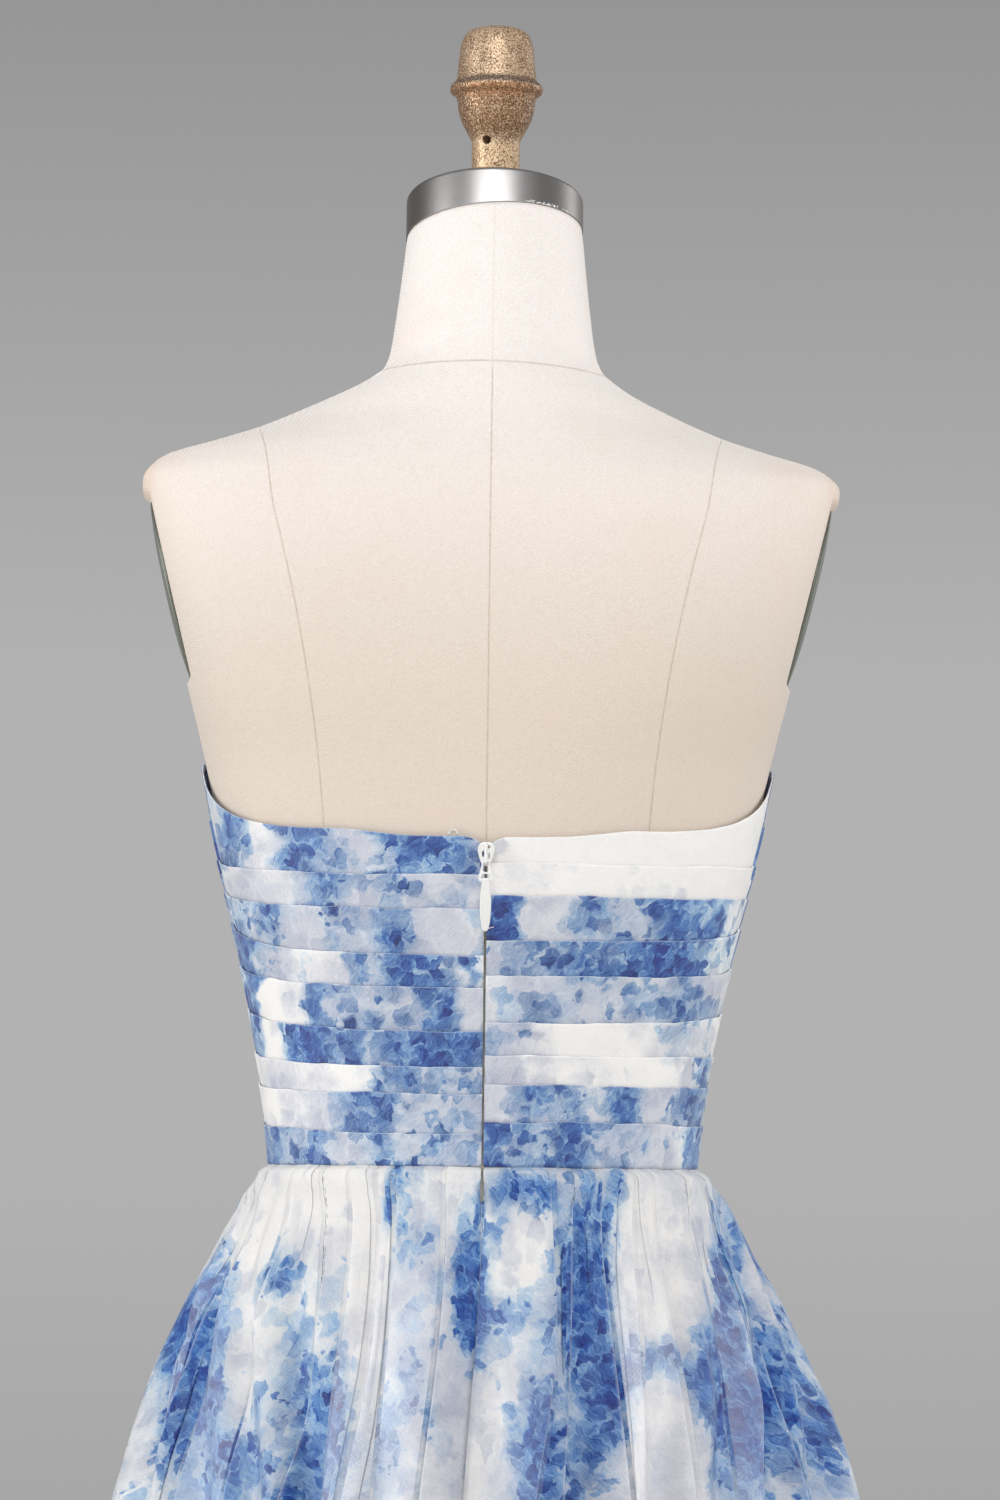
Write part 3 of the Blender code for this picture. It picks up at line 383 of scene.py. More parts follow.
class SkirtSettings(bpy.types.PropertyGroup):
    """The gathered skirt of sheer cloth and its lining."""

    gather_pitch: size_prop("Gather pitch", "From one small gather to the next", 0.0046)
    gather_depth: size_prop("Gather depth", "Half the depth of the small gathers at the waist", 0.00014)
    gather_reach: size_prop("Gather reach", "How far down the small gathers run", 0.070)
    waist_cut: size_prop("Cut at the waist", "Flat width of a back panel at the waist", 0.360)
    hem_cut: size_prop("Cut at the hem", "Flat width of a back panel at the hem", 0.470)
    front_waist_cut: size_prop("Front cut at the waist", "Flat width of the front at the waist", 0.720)
    front_hem_cut: size_prop("Front cut at the hem", "Flat width of the front at the hem", 1.560)
    sheer: share_prop("Sheer", "How much bare cloth covers what lies below", 0.78)
    printed_cover: share_prop("Printed cover", "How much the deepest petals cover", 0.95)
    hem_turn: size_prop("Hem turn", "Height of the turned hem", 0.008)
    lining_colour: colour_prop("Lining", "White lining", paint(240, 238, 238))


class FormSettings(bpy.types.PropertyGroup):
    """The dress form and its stand."""

    linen: colour_prop("Linen", "The form's cover", paint(244, 238, 235))
    # Linen low is painted shade: the cover's colour towards the bottom, darker where less light falls
    # from above.
    linen_low: colour_prop("Linen low", "The cover where it has yellowed", paint(221, 209, 197))
    stain: colour_prop("Stain", "Handling marks on the cover", paint(224, 198, 176))
    seam: colour_prop("Seam", "The shade in a seam", paint(178, 156, 132))
    twill: size_prop("Twill", "From one twill line to the next", 0.0015)
    seam_width: size_prop("Seam width", "Width of a seam's line", 0.00045)
    steel: colour_prop("Steel", "The neck cap", paint(196, 194, 193))
    gold: colour_prop("Gold", "The finial", paint(196, 166, 134))
    gold_dark: colour_prop("Worn gold", "Specks on the finial", paint(92, 62, 38))
    plate: colour_prop("Plate", "The arm plates", paint(134, 138, 128))
    stand: colour_prop("Stand", "The pole and the base", paint(58, 58, 60))
    ring_columns: IntProperty(name="Columns", description="Points round the form", default=320)


class ZipSettings(bpy.types.PropertyGroup):
    """The zip."""

    tape: colour_prop("Tape", "The tape behind the zip", paint(150, 148, 138))
    enamel: colour_prop("Enamel", "Slider and pull", paint(240, 239, 237))
    tooth_pitch: size_prop("Tooth pitch", "From one turn of the coil to the next", 0.0011)
    tooth: size_prop("Tooth", "Thickness of the coil's wire", 0.00045)
    stitch_pitch: size_prop("Stitch pitch", "From one hem stitch to the next", 0.0032)


class StageSettings(bpy.types.PropertyGroup):
    """Camera, lights and floor."""

    distance: size_prop("Camera distance", "From the dress's middle to the camera", 3.2)
    side: size_prop("Camera side", "The camera's place across", -0.0065)
    height: size_prop("Camera height", "The camera's height", 1.040)
    aim: size_prop("Aim", "The height that the camera looks at", 1.265)
    roll: FloatProperty(
        name="Roll", description="Turn about the view", default=math.radians(0.73), unit="ROTATION")
    lens: plain_prop("Lens", "Focal length on a 36 mm frame", 142.6)
    key: plain_prop("Key", "Power of the large light above the camera", 73.0)
    fill: plain_prop("Fill", "Power of each light at the sides", 48.0)
    rear: plain_prop("Rear", "Power of the light on the dress's front", 50.0)
    backdrop_low: colour_prop("Backdrop low", "The backdrop at eye level", paint(178, 178, 178))
    backdrop_high: colour_prop("Backdrop high", "The backdrop higher up", paint(142, 142, 142))
    floor: colour_prop("Floor", "The floor", paint(205, 204, 202))


# ---------------------------------------------------------------- curves and shapes by formula

def mix(start, end, share):
    return start + (end - start) * share


def ease(share):
    """A smooth step from 0 to 1."""
    share = np.clip(share, 0.0, 1.0)
    return share * share * (3 - 2 * share)


def column(table, columns, name):
    return np.array([row[columns.index(name)] for row in table])


def curve_through(places, values, wanted):
    """Values at wanted places, on a smooth curve through the given ones that never overshoots."""
    places, values = np.asarray(places, float), np.asarray(values, float)
    slopes = np.diff(values) / np.diff(places)
    before, after = slopes[:-1], slopes[1:]
    together = before * after > 0
    inner = np.where(together, 2 * before * after / np.where(together, before + after, 1.0), 0.0)
    tangents = np.concatenate([slopes[:1], inner, slopes[-1:]])
    wanted = np.clip(wanted, places[0], places[-1])
    i = np.clip(np.searchsorted(places, wanted, side="right") - 1, 0, len(places) - 2)
    step = places[i + 1] - places[i]
    t = (wanted - places[i]) / step
    return (
        values[i] * (1 + 2 * t) * (1 - t) ** 2
        + values[i + 1] * t * t * (3 - 2 * t)
        + tangents[i] * step * t * (1 - t) ** 2
        - tangents[i + 1] * step * t * t * (1 - t)
    )


def read_table(table, columns, name, wanted):
    return curve_through(column(table, columns, columns[0]), column(table, columns, name), wanted)


def drift(across, along, seed):
    """Soft uneven noise from -1 to 1, with about one hump for each unit."""
    lattice = np.random.default_rng(seed).uniform(-1, 1, (64, 64))
    across, along = np.broadcast_arrays(np.asarray(across, float), np.asarray(along, float))
    i, j = np.floor(across).astype(int), np.floor(along).astype(int)
    u, v = ease(across - i), ease(along - j)
    low = mix(lattice[i % 64, j % 64], lattice[(i + 1) % 64, j % 64], u)
    high = mix(lattice[i % 64, (j + 1) % 64], lattice[(i + 1) % 64, (j + 1) % 64], u)
    return mix(low, high, v)


def oval(half_width, half_depth, squareness, angle):
    """A point on a squared oval, by its angle in degrees."""
    across, deep = np.cos(np.radians(angle)), np.sin(np.radians(angle))
    power = 2 / squareness
    return (
        np.sign(across) * half_width * np.abs(across) ** power,
        np.sign(deep) * half_depth * np.abs(deep) ** power,
    )


def arm_cut(height):
    """Where the armhole's flat seat lies, across from the middle, at a height."""
    rise = PLATE_TOP[1] - PLATE_FOOT[1]
    slant = math.hypot(PLATE_TOP[0] - PLATE_FOOT[0], rise) / rise
    return mix(PLATE_FOOT[0], PLATE_TOP[0], (height - PLATE_FOOT[1]) / rise) - PLATE_SEAT * slant


def bust_swell(x, level, spread):
    """1 at the middle of either side of the bust, falling to 0 around it."""
    across = (np.abs(x) - BUST_ACROSS) / BUST_HALF_WIDTH / spread
    up = (level - BUST_LEVEL) / BUST_HALF_HEIGHT / spread
    return np.exp(-across ** 2 - up ** 2)


def form_points(level, angle):
    """Points on the form's skin."""
    level, angle = np.broadcast_arrays(np.asarray(level, float), np.asarray(angle, float))
    half_width, back, front, squareness, lean = (
        read_table(FORM_SECTIONS, FORM_COLUMNS, name, level) for name in FORM_COLUMNS[1:])
    half_depth = (back + front) / 2
    x, y = oval(half_width, half_depth, squareness, angle)
    at_arm = (level > PLATE_FOOT[1] - 0.002) & (level < PLATE_TOP[1] + 0.002)
    x = np.where(at_arm, np.clip(x, -arm_cut(level), arm_cut(level)), x)
    y = np.where(y < 0, y - BUST_OUT * bust_swell(x, level, 1.0) * ease(-y / half_depth), y)
    return np.stack([x, (back - front) / 2 + y, level + lean * y], axis=-1)


def form_normals(level, angle):
    """The level directions straight out of the form."""
    along = form_points(level, angle + 0.5) - form_points(level, angle - 0.5)
    out = np.stack([along[..., 1], -along[..., 0], np.zeros_like(along[..., 0])], axis=-1)
    return out / np.linalg.norm(out, axis=-1, keepdims=True)


def bodice_points(angle, height, lift):
    """Points over the bodice's form: above the waist by height, and lifted off its ease by lift."""
    angle, height, lift = np.broadcast_arrays(*(np.asarray(v, float) for v in (angle, height, lift)))
    level = WAIST + height
    skin = form_points(level, angle)
    cup = np.where(skin[..., 1] < 0, CUP_EASE * bust_swell(skin[..., 0], level, 1.6), 0.0)
    return skin + form_normals(level, angle) * (BODICE_EASE + cup + lift)[..., None]


def skirt_points(angle, drop, inset):
    """Points inside the skirt's outline by inset."""
    half_width = read_table(SKIRT_SECTIONS, SKIRT_COLUMNS, "half_width", drop) - inset
    half_depth = read_table(SKIRT_SECTIONS, SKIRT_COLUMNS, "half_depth", drop) - inset
    x, y = oval(half_width, half_depth, SKIRT_SQUARENESS, angle)
    fuller = RIGHT_FULLNESS * ease(drop / 0.15) * (1 - ease((drop - 0.22) / 0.30))
    puffed = ease(drop / 0.005)
    left_puff = WAIST_PUFF[0] * puffed * (1 - ease((drop - 0.004) / 0.025))
    right_puff = WAIST_PUFF[1] * puffed * (1 - ease((drop - 0.004) / 0.050))
    x = np.where(x < 0, x * (1 + fuller + right_puff), x * (1 + left_puff))
    return np.stack(np.broadcast_arrays(x, SKIRT_CENTRE_Y + y, WAIST - drop), axis=-1)


def side_seam(drop):
    return SIDE_SEAM_SWING * ease(drop / FREE_DROP)


def back_seam(drop):
    return 90 - BACK_SEAM_SWING * ease((drop - 0.030) / FREE_DROP)


def fold_height(folds, drop, share):
    """How high the large folds stand across a panel, from 0 to 1."""
    crests = [mix(waist, free, ease(drop / FREE_DROP)) for waist, free, _ in folds]
    valleys = [0.0] + [(a + b) / 2 for a, b in zip(crests, crests[1:])] + [1.0]
    height = np.zeros_like(share)
    for crest, low, high, (_, _, top) in zip(crests, valleys, valleys[1:], folds):
        rising = (share >= low) & (share < crest)
        falling = (share >= crest) & (share <= high)
        height[rising] = top * (0.5 - 0.5 * np.cos(np.pi * (share[rising] - low) / (crest - low)))
        height[falling] = top * (0.5 + 0.5 * np.cos(np.pi * (share[falling] - crest) / (high - crest)))
    return height


# ---------------------------------------------------------------- meshes and pieces

def grid_faces(rows, columns, closed_round=False, first=0):
    """Quads of a grid whose rows go up and whose columns go round, so that they face out."""
    across = columns if closed_round else columns - 1
    i, j = np.meshgrid(np.arange(rows - 1), np.arange(across), indexing="ij")
    following = (j + 1) % columns
    quads = np.stack([i * columns + j, i * columns + following,
                      (i + 1) * columns + following, (i + 1) * columns + j], axis=-1)
    return (quads.reshape(-1, 4) + first).tolist()


def grid_mesh(name, grids, closed_round=False, capped=False):
    """One mesh of several grids. Each is its points, and may have a UV grid and point attributes."""
    points, faces = [], []
    first = 0
    for grid in grids:
        rows, columns = grid["points"].shape[:2]
        points.append(grid["points"].reshape(-1, 3))
        faces += grid_faces(rows, columns, closed_round, first)
        if capped:
            faces.append(list(range(first + columns - 1, first - 1, -1)))
            faces.append(list(range(first + (rows - 1) * columns, first + rows * columns)))
        first += rows * columns
    mesh = bpy.data.meshes.new(name)
    mesh.from_pydata(np.concatenate(points).tolist(), [], faces)
    corners = np.empty(len(mesh.loops), np.int32)
    mesh.loops.foreach_get("vertex_index", corners)
    if "uv" in grids[0]:
        places = np.concatenate([grid["uv"].reshape(-1, 2) for grid in grids])
        layer = mesh.uv_layers.new(name="cloth")
        layer.data.foreach_set("uv", places[corners].astype(np.float32).ravel())
    for mark in grids[0].get("marks", {}):
        values = np.concatenate([grid["marks"][mark].reshape(-1) for grid in grids])
        attribute = mesh.attributes.new(mark, "FLOAT", "POINT")
        attribute.data.foreach_set("value", values.astype(np.float32))
    mesh.shade_smooth()
    mesh.update()
    return mesh


def placed(name, data):
    """A new object in the scene."""
    item = bpy.data.objects.new(name, data)
    bpy.context.scene.collection.objects.link(item)
    return item


def mesh_of(shape, name):
    """A finished shape as a mesh."""
    mesh = bpy.data.meshes.new(name)
    shape.to_mesh(mesh)
    shape.free()
    return mesh


def evaluated_mesh(item):
    """An object's mesh with its modifiers, or its curve, worked out."""
    bpy.context.view_layer.update()
    return bpy.data.meshes.new_from_object(item.evaluated_get(bpy.context.evaluated_depsgraph_get()))


def smooth_but_creased(mesh):
    mesh.shade_smooth()
    mesh.set_sharp_from_angle(angle=SHARP_ANGLE)
    return mesh


def turned_mesh(name, profile, steps=128, place=None):
    """A shape turned about the vertical, from heights and radii that run down its outer side."""
    shape = bmesh.new()
    turns = [2 * math.pi * k / steps for k in range(steps)]
    rings = []
    for height, radius in profile:
        if radius < 1e-6:
            rings.append([shape.verts.new((0, 0, height))])
        else:
            ring = ((radius * math.cos(t), radius * math.sin(t), height) for t in turns)
            rings.append([shape.verts.new(point) for point in ring])
    for upper, lower in zip(rings, rings[1:]):
        for k in range(steps):
            corners = [upper[k % len(upper)], lower[k % len(lower)],
                       lower[(k + 1) % steps % len(lower)], upper[(k + 1) % steps % len(upper)]]
            shape.faces.new(list(dict.fromkeys(corners)))
    if place is not None:
        shape.transform(place)
    return smooth_but_creased(mesh_of(shape, name))


def softened(profile, corners=3):
    """A profile with its corners cut round, by Chaikin's rule."""
    line = [np.array(point, float) for point in profile]
    for _ in range(corners):
        cut = [line[0]]
        for a, b in zip(line, line[1:]):
            cut += [a * 0.75 + b * 0.25, a * 0.25 + b * 0.75]
        line = cut + [line[-1]]
    return [tuple(point) for point in line]


def wire_shape(name, points, radius, cyclic=False, flat=None, bevel=0.0, resolution=4, holes=()):
    """A bent wire as a mesh. With flat, the outline is filled instead, that thick and with holes."""
    curve = bpy.data.curves.new(name, "CURVE")
    curve.dimensions = "3D" if flat is None else "2D"
    for line in (points, *holes):
        spline = curve.splines.new("POLY")
        spline.points.add(len(line) - 1)
        for place, point in zip(spline.points, line):
            place.co = (*point, 1.0)
        spline.use_cyclic_u = cyclic
    if flat is None:
        curve.bevel_depth = radius
        curve.bevel_resolution = resolution
        curve.use_fill_caps = not cyclic
    else:
        curve.fill_mode = "BOTH"
        curve.extrude = flat / 2 - bevel
        curve.bevel_depth = bevel
        curve.bevel_resolution = resolution
        curve.offset = -bevel
    holder = placed(name + "_curve", curve)
    mesh = evaluated_mesh(holder)
    bpy.data.objects.remove(holder, do_unlink=True)
    shape = bmesh.new()
    shape.from_mesh(mesh)
    bmesh.ops.remove_doubles(shape, verts=shape.verts, dist=0.00001)
    bmesh.ops.recalc_face_normals(shape, faces=shape.faces)
    shape.to_mesh(mesh)
    shape.free()
    return mesh


def joined(name, meshes):
    """Several meshes as one."""
    shape = bmesh.new()
    for mesh in meshes:
        shape.from_mesh(mesh)
        bpy.data.meshes.remove(mesh)
    return smooth_but_creased(mesh_of(shape, name))


def make_piece(name, mesh, finish, body=DRESS_BODY, replaces=()):
    piece = placed(name, mesh)
    mesh.materials.clear()
    mesh.materials.append(finish)
    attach(piece, body)
    if replaces:
        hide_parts(*replaces)
    return piece


# ---------------------------------------------------------------- finishes

def worked(operation):
    """A method that adds a node for a sum of a term and what it is given."""
    def made(self, *values):
        return self.combine(operation, self, *values)
    return made


def worked_last(operation):
    """The same with the term last, for where a plain number comes first."""
    def made(self, value):
        return self.combine(operation, value, self)
    return made


class Term:
    """A socket in a material that takes part in sums. A vector's sums are made part by part."""

    def __init__(self, finish, socket, arrow=False):
        self.finish, self.socket, self.arrow = finish, socket, arrow

    def combine(self, operation, *values):
        made = self.finish.tree.nodes.new("ShaderNodeVectorMath" if self.arrow else "ShaderNodeMath")
        made.operation = operation
        for socket, value in zip(made.inputs, values):
            self.finish.feed(socket, value)
        return Term(self.finish, made.outputs[0], self.arrow)

    __add__ = __radd__ = worked("ADD")
    __sub__, __rsub__ = worked("SUBTRACT"), worked_last("SUBTRACT")
    __pow__, __rpow__ = worked("POWER"), worked_last("POWER")
    __truediv__, __abs__ = worked("DIVIDE"), worked("ABSOLUTE")
    sine, cosine, root = worked("SINE"), worked("COSINE"), worked("SQRT")
    fraction, least, most = worked("FRACT"), worked("MINIMUM"), worked("MAXIMUM")

    def __mul__(self, other):
        if self.arrow and not isinstance(other, (Term, tuple)):
            other = (other, other, other)
        return self.combine("MULTIPLY", self, other)

    __rmul__ = __mul__

    def part(self, name):
        return self.finish.node("ShaderNodeSeparateXYZ", {}, {"Vector": self}).out(name)

    def step(self, low, high):
        """0 at low, 1 at high, and smooth between."""
        made = self.finish.node(
            "ShaderNodeMapRange", {"interpolation_type": "SMOOTHSTEP"},
            {"Value": self, "From Min": low, "From Max": high})
        return made.out("Result")


class Made:
    """A node and its outputs as terms."""

    def __init__(self, finish, node):
        self.finish, self.node = finish, node

    def out(self, name):
        socket = self.node.outputs[name]
        return Term(self.finish, socket, socket.type in {"VECTOR", "RGBA"})


class Finish:
    """One material and the nodes that it is made of."""

    def __init__(self, name):
        self.material = bpy.data.materials.new(name)
        self.material.use_nodes = True
        self.tree = self.material.node_tree
        self.tree.nodes.clear()

    def feed(self, socket, value):
        if isinstance(value, Term):
            self.tree.links.new(value.socket, socket)
        elif socket.type == "RGBA" and len(value) == 3:
            socket.default_value = (*value, 1.0)
        else:
            socket.default_value = value

    def node(self, kind, settings=None, values=None):
        """A node of a kind, with its settings, then the values or links of its sockets."""
        made = self.tree.nodes.new(kind)
        for key, value in (settings or {}).items():
            setattr(made, key, value)
        for key, value in (values or {}).items():
            self.feed(made.inputs[key], value)
        return Made(self, made)

    def place(self):
        return self.node("ShaderNodeTexCoord").out("Object")

    def cloth(self):
        """The place on the flat cloth, in millimetres."""
        return self.node("ShaderNodeUVMap", {"uv_map": "cloth"}).out("UV") * 1000.0

    def mark(self, name):
        return self.node("ShaderNodeAttribute", {"attribute_name": name}).out("Fac")

    def noise(self, place, size, detail=2.0, rough=0.5, flat=False):
        """Noise of a feature size in the place's own units."""
        return self.node(
            "ShaderNodeTexNoise", {"noise_dimensions": "2D" if flat else "3D"},
            {"Vector": place, "Scale": 1 / size, "Detail": detail, "Roughness": rough})

    def mixed(self, factor, first, second, mode="MIX"):
        made = self.tree.nodes.new("ShaderNodeMix")
        made.data_type = "RGBA"
        made.blend_type = mode
        self.feed(made.inputs["Factor"], factor)
        self.feed(made.inputs[6], first)
        self.feed(made.inputs[7], second)
        return Term(self, made.outputs[2])

    def bump(self, height, distance, strength=1.0):
        values = {"Height": height, "Distance": distance, "Strength": strength}
        return self.node("ShaderNodeBump", {}, values).out("Normal")

    def vector(self, x, y, z=0.0):
        return self.node("ShaderNodeCombineXYZ", {}, {"X": x, "Y": y, "Z": z}).out("Vector")

    def surface(self, values):
        """The shader itself, with its sockets' values or links."""
        shader = self.node("ShaderNodeBsdfPrincipled", {}, values)
        end = self.tree.nodes.new("ShaderNodeOutputMaterial")
        self.tree.links.new(shader.node.outputs["BSDF"], end.inputs["Surface"])
        return self.material


def colour_of(group, name):
    return tuple(getattr(group, name))


def petals(finish, cloth, ragged, bloom, size, least, shape, seed, soft=0.86):
    """One layer of petals, each stronger towards its tip: the coats of paint, their darker rims and
    each petal's own chance."""
    place = cloth + (seed * 37.0, seed * 61.0, 0.0)
    cells = finish.node(
        "ShaderNodeTexVoronoi", {"voronoi_dimensions": "2D"},
        {"Vector": place, "Scale": 1 / size, "Randomness": 1.0})
    chance = finish.node("ShaderNodeSeparateColor", {}, {"Color": cells.out("Color")})
    turn = chance.out("Red") * (2 * math.pi)
    cosine, sine = turn.cosine(), turn.sine()
    away = place - cells.out("Position")
    away_x, away_y = away.part("X"), away.part("Y")
    along = (away_x * cosine + away_y * sine) / (size * shape[0])
    across = (away_y * cosine - away_x * sine) / (size * shape[1])
    grown = (bloom + (chance.out("Green") - 0.5) * 0.9 - least).step(0.0, 0.50)
    reach = (along * along + across * across).root() + (ragged - 0.5) * 0.50
    reach = reach / (grown * 0.55 + 0.62)
    inside = (1 - reach.step(soft, 1.0)) * grown.step(0.02, 0.20)
    tip = along.step(-1.0, 0.9)
    rim = reach.step(0.76, 0.94) * inside * tip
    return inside * (tip * 0.75 + 0.30), rim, chance.out("Blue")


def watercolour(finish, settings):
    """The flower print: its colour, how strong the paint is, and the two fields that shade it."""
    cloth = finish.cloth()
    bloom, haze = finish.mark("bloom"), finish.mark("haze")
    half = (0.5, 0.5, 0.5)
    broad = finish.noise(cloth, 8.0, 1.0, 0.5, flat=True).out("Color")
    fine = finish.noise(cloth, 1.9, 2.0, 0.6, flat=True)
    bent = cloth + (broad - half) * (settings.streak * 2600)
    bent = bent + (fine.out("Color") - half) * (settings.streak * 300)
    ragged = fine.out("Fac")
    spread = finish.noise(cloth, 20.0, 3.0, 0.6, flat=True).out("Fac")
    pools = finish.noise(bent, 10.0, 2.0, 0.55, flat=True).out("Fac")
    across, down = bent.part("X"), bent.part("Y")
    slanted = finish.vector((across + down) * 0.18, down - across)
    strokes = finish.noise(slanted, 1.7, 2.0, 0.65, flat=True).out("Fac")

    petal = settings.petal * 1000
    fill = bloom + (spread - 0.5) * 1.25
    blue, grey = None, None
    layers = (
        # size, least bloom, (length, width), soft, weakest coat, its range, rim
        (petal * 2.00, 0.04, (0.70, 0.54), 0.60, 0.05, 0.22, 0.04),
        (petal * 1.25, 0.22, (0.72, 0.48), 0.84, 0.08, 0.38, 0.14),
        (petal * 0.92, 0.42, (0.76, 0.46), 0.89, 0.10, 0.58, 0.20),
        (petal * 0.70, 0.62, (0.80, 0.50), 0.89, 0.16, 1.45, 0.22),
    )
    for seed, (size, least, shape, soft, weakest, span, rim_dark) in enumerate(layers):
        coat, rim, chance = petals(finish, bent, ragged, fill, size, least, shape, seed + 1, soft)
        tone = coat * (chance * span + weakest) + rim * rim_dark
        blue = tone if blue is None else blue + tone
        odd = coat * (chance * 7.0).fraction().step(0.55, 0.80) * (0.12 + 0.10 * seed)
        grey = odd if grey is None else grey + odd
    coat, rim, chance = petals(finish, bent, ragged, haze, petal * 1.35, 0.05, (0.74, 0.58), 7, 0.45)
    grey = grey + coat * (chance * 0.34 + 0.04) + rim * 0.02

    coats = (pools * 9.0).fraction()
    wash = (fill + (ragged - 0.5) * 0.45).step(-0.12, 0.80)
    deep = (fill + (0.5 - pools) * 1.8 + (ragged - 0.5) * 0.4).step(0.50, 1.10)
    mist = (haze * 1.1 + (0.5 - spread) * 2.0 + (pools - 0.5) * 0.8 + 0.05).step(0.0, 1.0)
    blue = blue + wash * (coats * 0.12 + 0.14) + deep * ((pools * 17.0).fraction() * 0.30 + 0.22)
    blue = blue * (strokes * 1.5 + 0.25)
    grey = (grey + mist * (0.34 + coats * 0.05)) * (strokes * 0.7 + 0.65) * (1 - deep * 0.55)

    channels = []
    for ground, coat_blue, coat_grey in zip(settings.ground, settings.blue, settings.grey):
        kept = (coat_blue / ground) ** blue * (coat_grey / ground) ** grey
        channels.append(kept * ground)
    paints = dict(zip(("Red", "Green", "Blue"), channels))
    colour = finish.node("ShaderNodeCombineColor", {}, paints).out("Color")
    return colour, (blue + grey * 0.6).least(1.0), spread, pools


def printed_cloth(name, settings, skirt=None):
    """The printed cloth: over a white backing, or sheer where the skirt's settings are given."""
    finish = Finish(name)
    colour, pigment, spread, pools = watercolour(finish, settings)
    edge = finish.mark("edge")
    cloth = finish.cloth()
    pale = 0.55 if skirt else 0.60
    # Folded edges are painted paler towards white: partly the doubled cloth, partly a painted highlight
    # along the fold.
    colour = finish.mixed(edge * (spread * pale + 0.05), colour, paint(244, 243, 245))
    if skirt is None:
        colour = finish.mixed(settings.bodice_veil, colour, paint(206, 200, 196))
    x, y = cloth.part("X"), cloth.part("Y")
    hatch = ((x * 0.78 + y * 0.62) * (2 * math.pi / 1.6)).sine() * 0.35
    hatch = hatch + ((x * 0.70 - y * 0.71) * (2 * math.pi / 1.9)).sine() * 0.15 + 0.5
    grain = finish.noise(cloth, 0.9, 1.0, 0.6, flat=True).out("Fac")
    patches = pools.step(0.42, 0.58)
    dark = (hatch * patches * 0.8 + 0.1) * (pigment * 0.20 + 0.05)
    dark = dark + (grain - 0.42) * (pigment * 0.30 + 0.16)
    colour = finish.mixed(dark.most(0.0), colour, paint(70, 88, 124))
    values = {
        "Base Color": colour, "Roughness": 0.60 - pigment * 0.08,
        "Normal": finish.bump(grain * 0.8 + hatch * 0.25, 0.00022, 0.5),
        "Sheen Weight": 0.25, "Sheen Roughness": 0.4, "Specular IOR Level": 0.35,
    }
    if skirt is not None:
        bare, deep = skirt.sheer, skirt.printed_cover
        values["Alpha"] = (pigment.step(0.0, 0.9) * (deep - bare) + bare + edge * 0.12).least(1.0)
    return finish.surface(values)


def lining_cloth(settings):
    finish = Finish("white_satin")
    cloth = finish.cloth()
    slub = finish.noise(cloth * (1.0, 0.12, 1.0), 1.6, 2.0, 0.5, flat=True).out("Fac")
    tone = finish.mixed(slub * 0.12, colour_of(settings, "lining_colour"), paint(206, 208, 216))
    return finish.surface({
        "Base Color": tone, "Roughness": 0.42 + slub * 0.12,
        "Normal": finish.bump(slub, 0.0002, 0.35), "Sheen Weight": 0.15,
    })


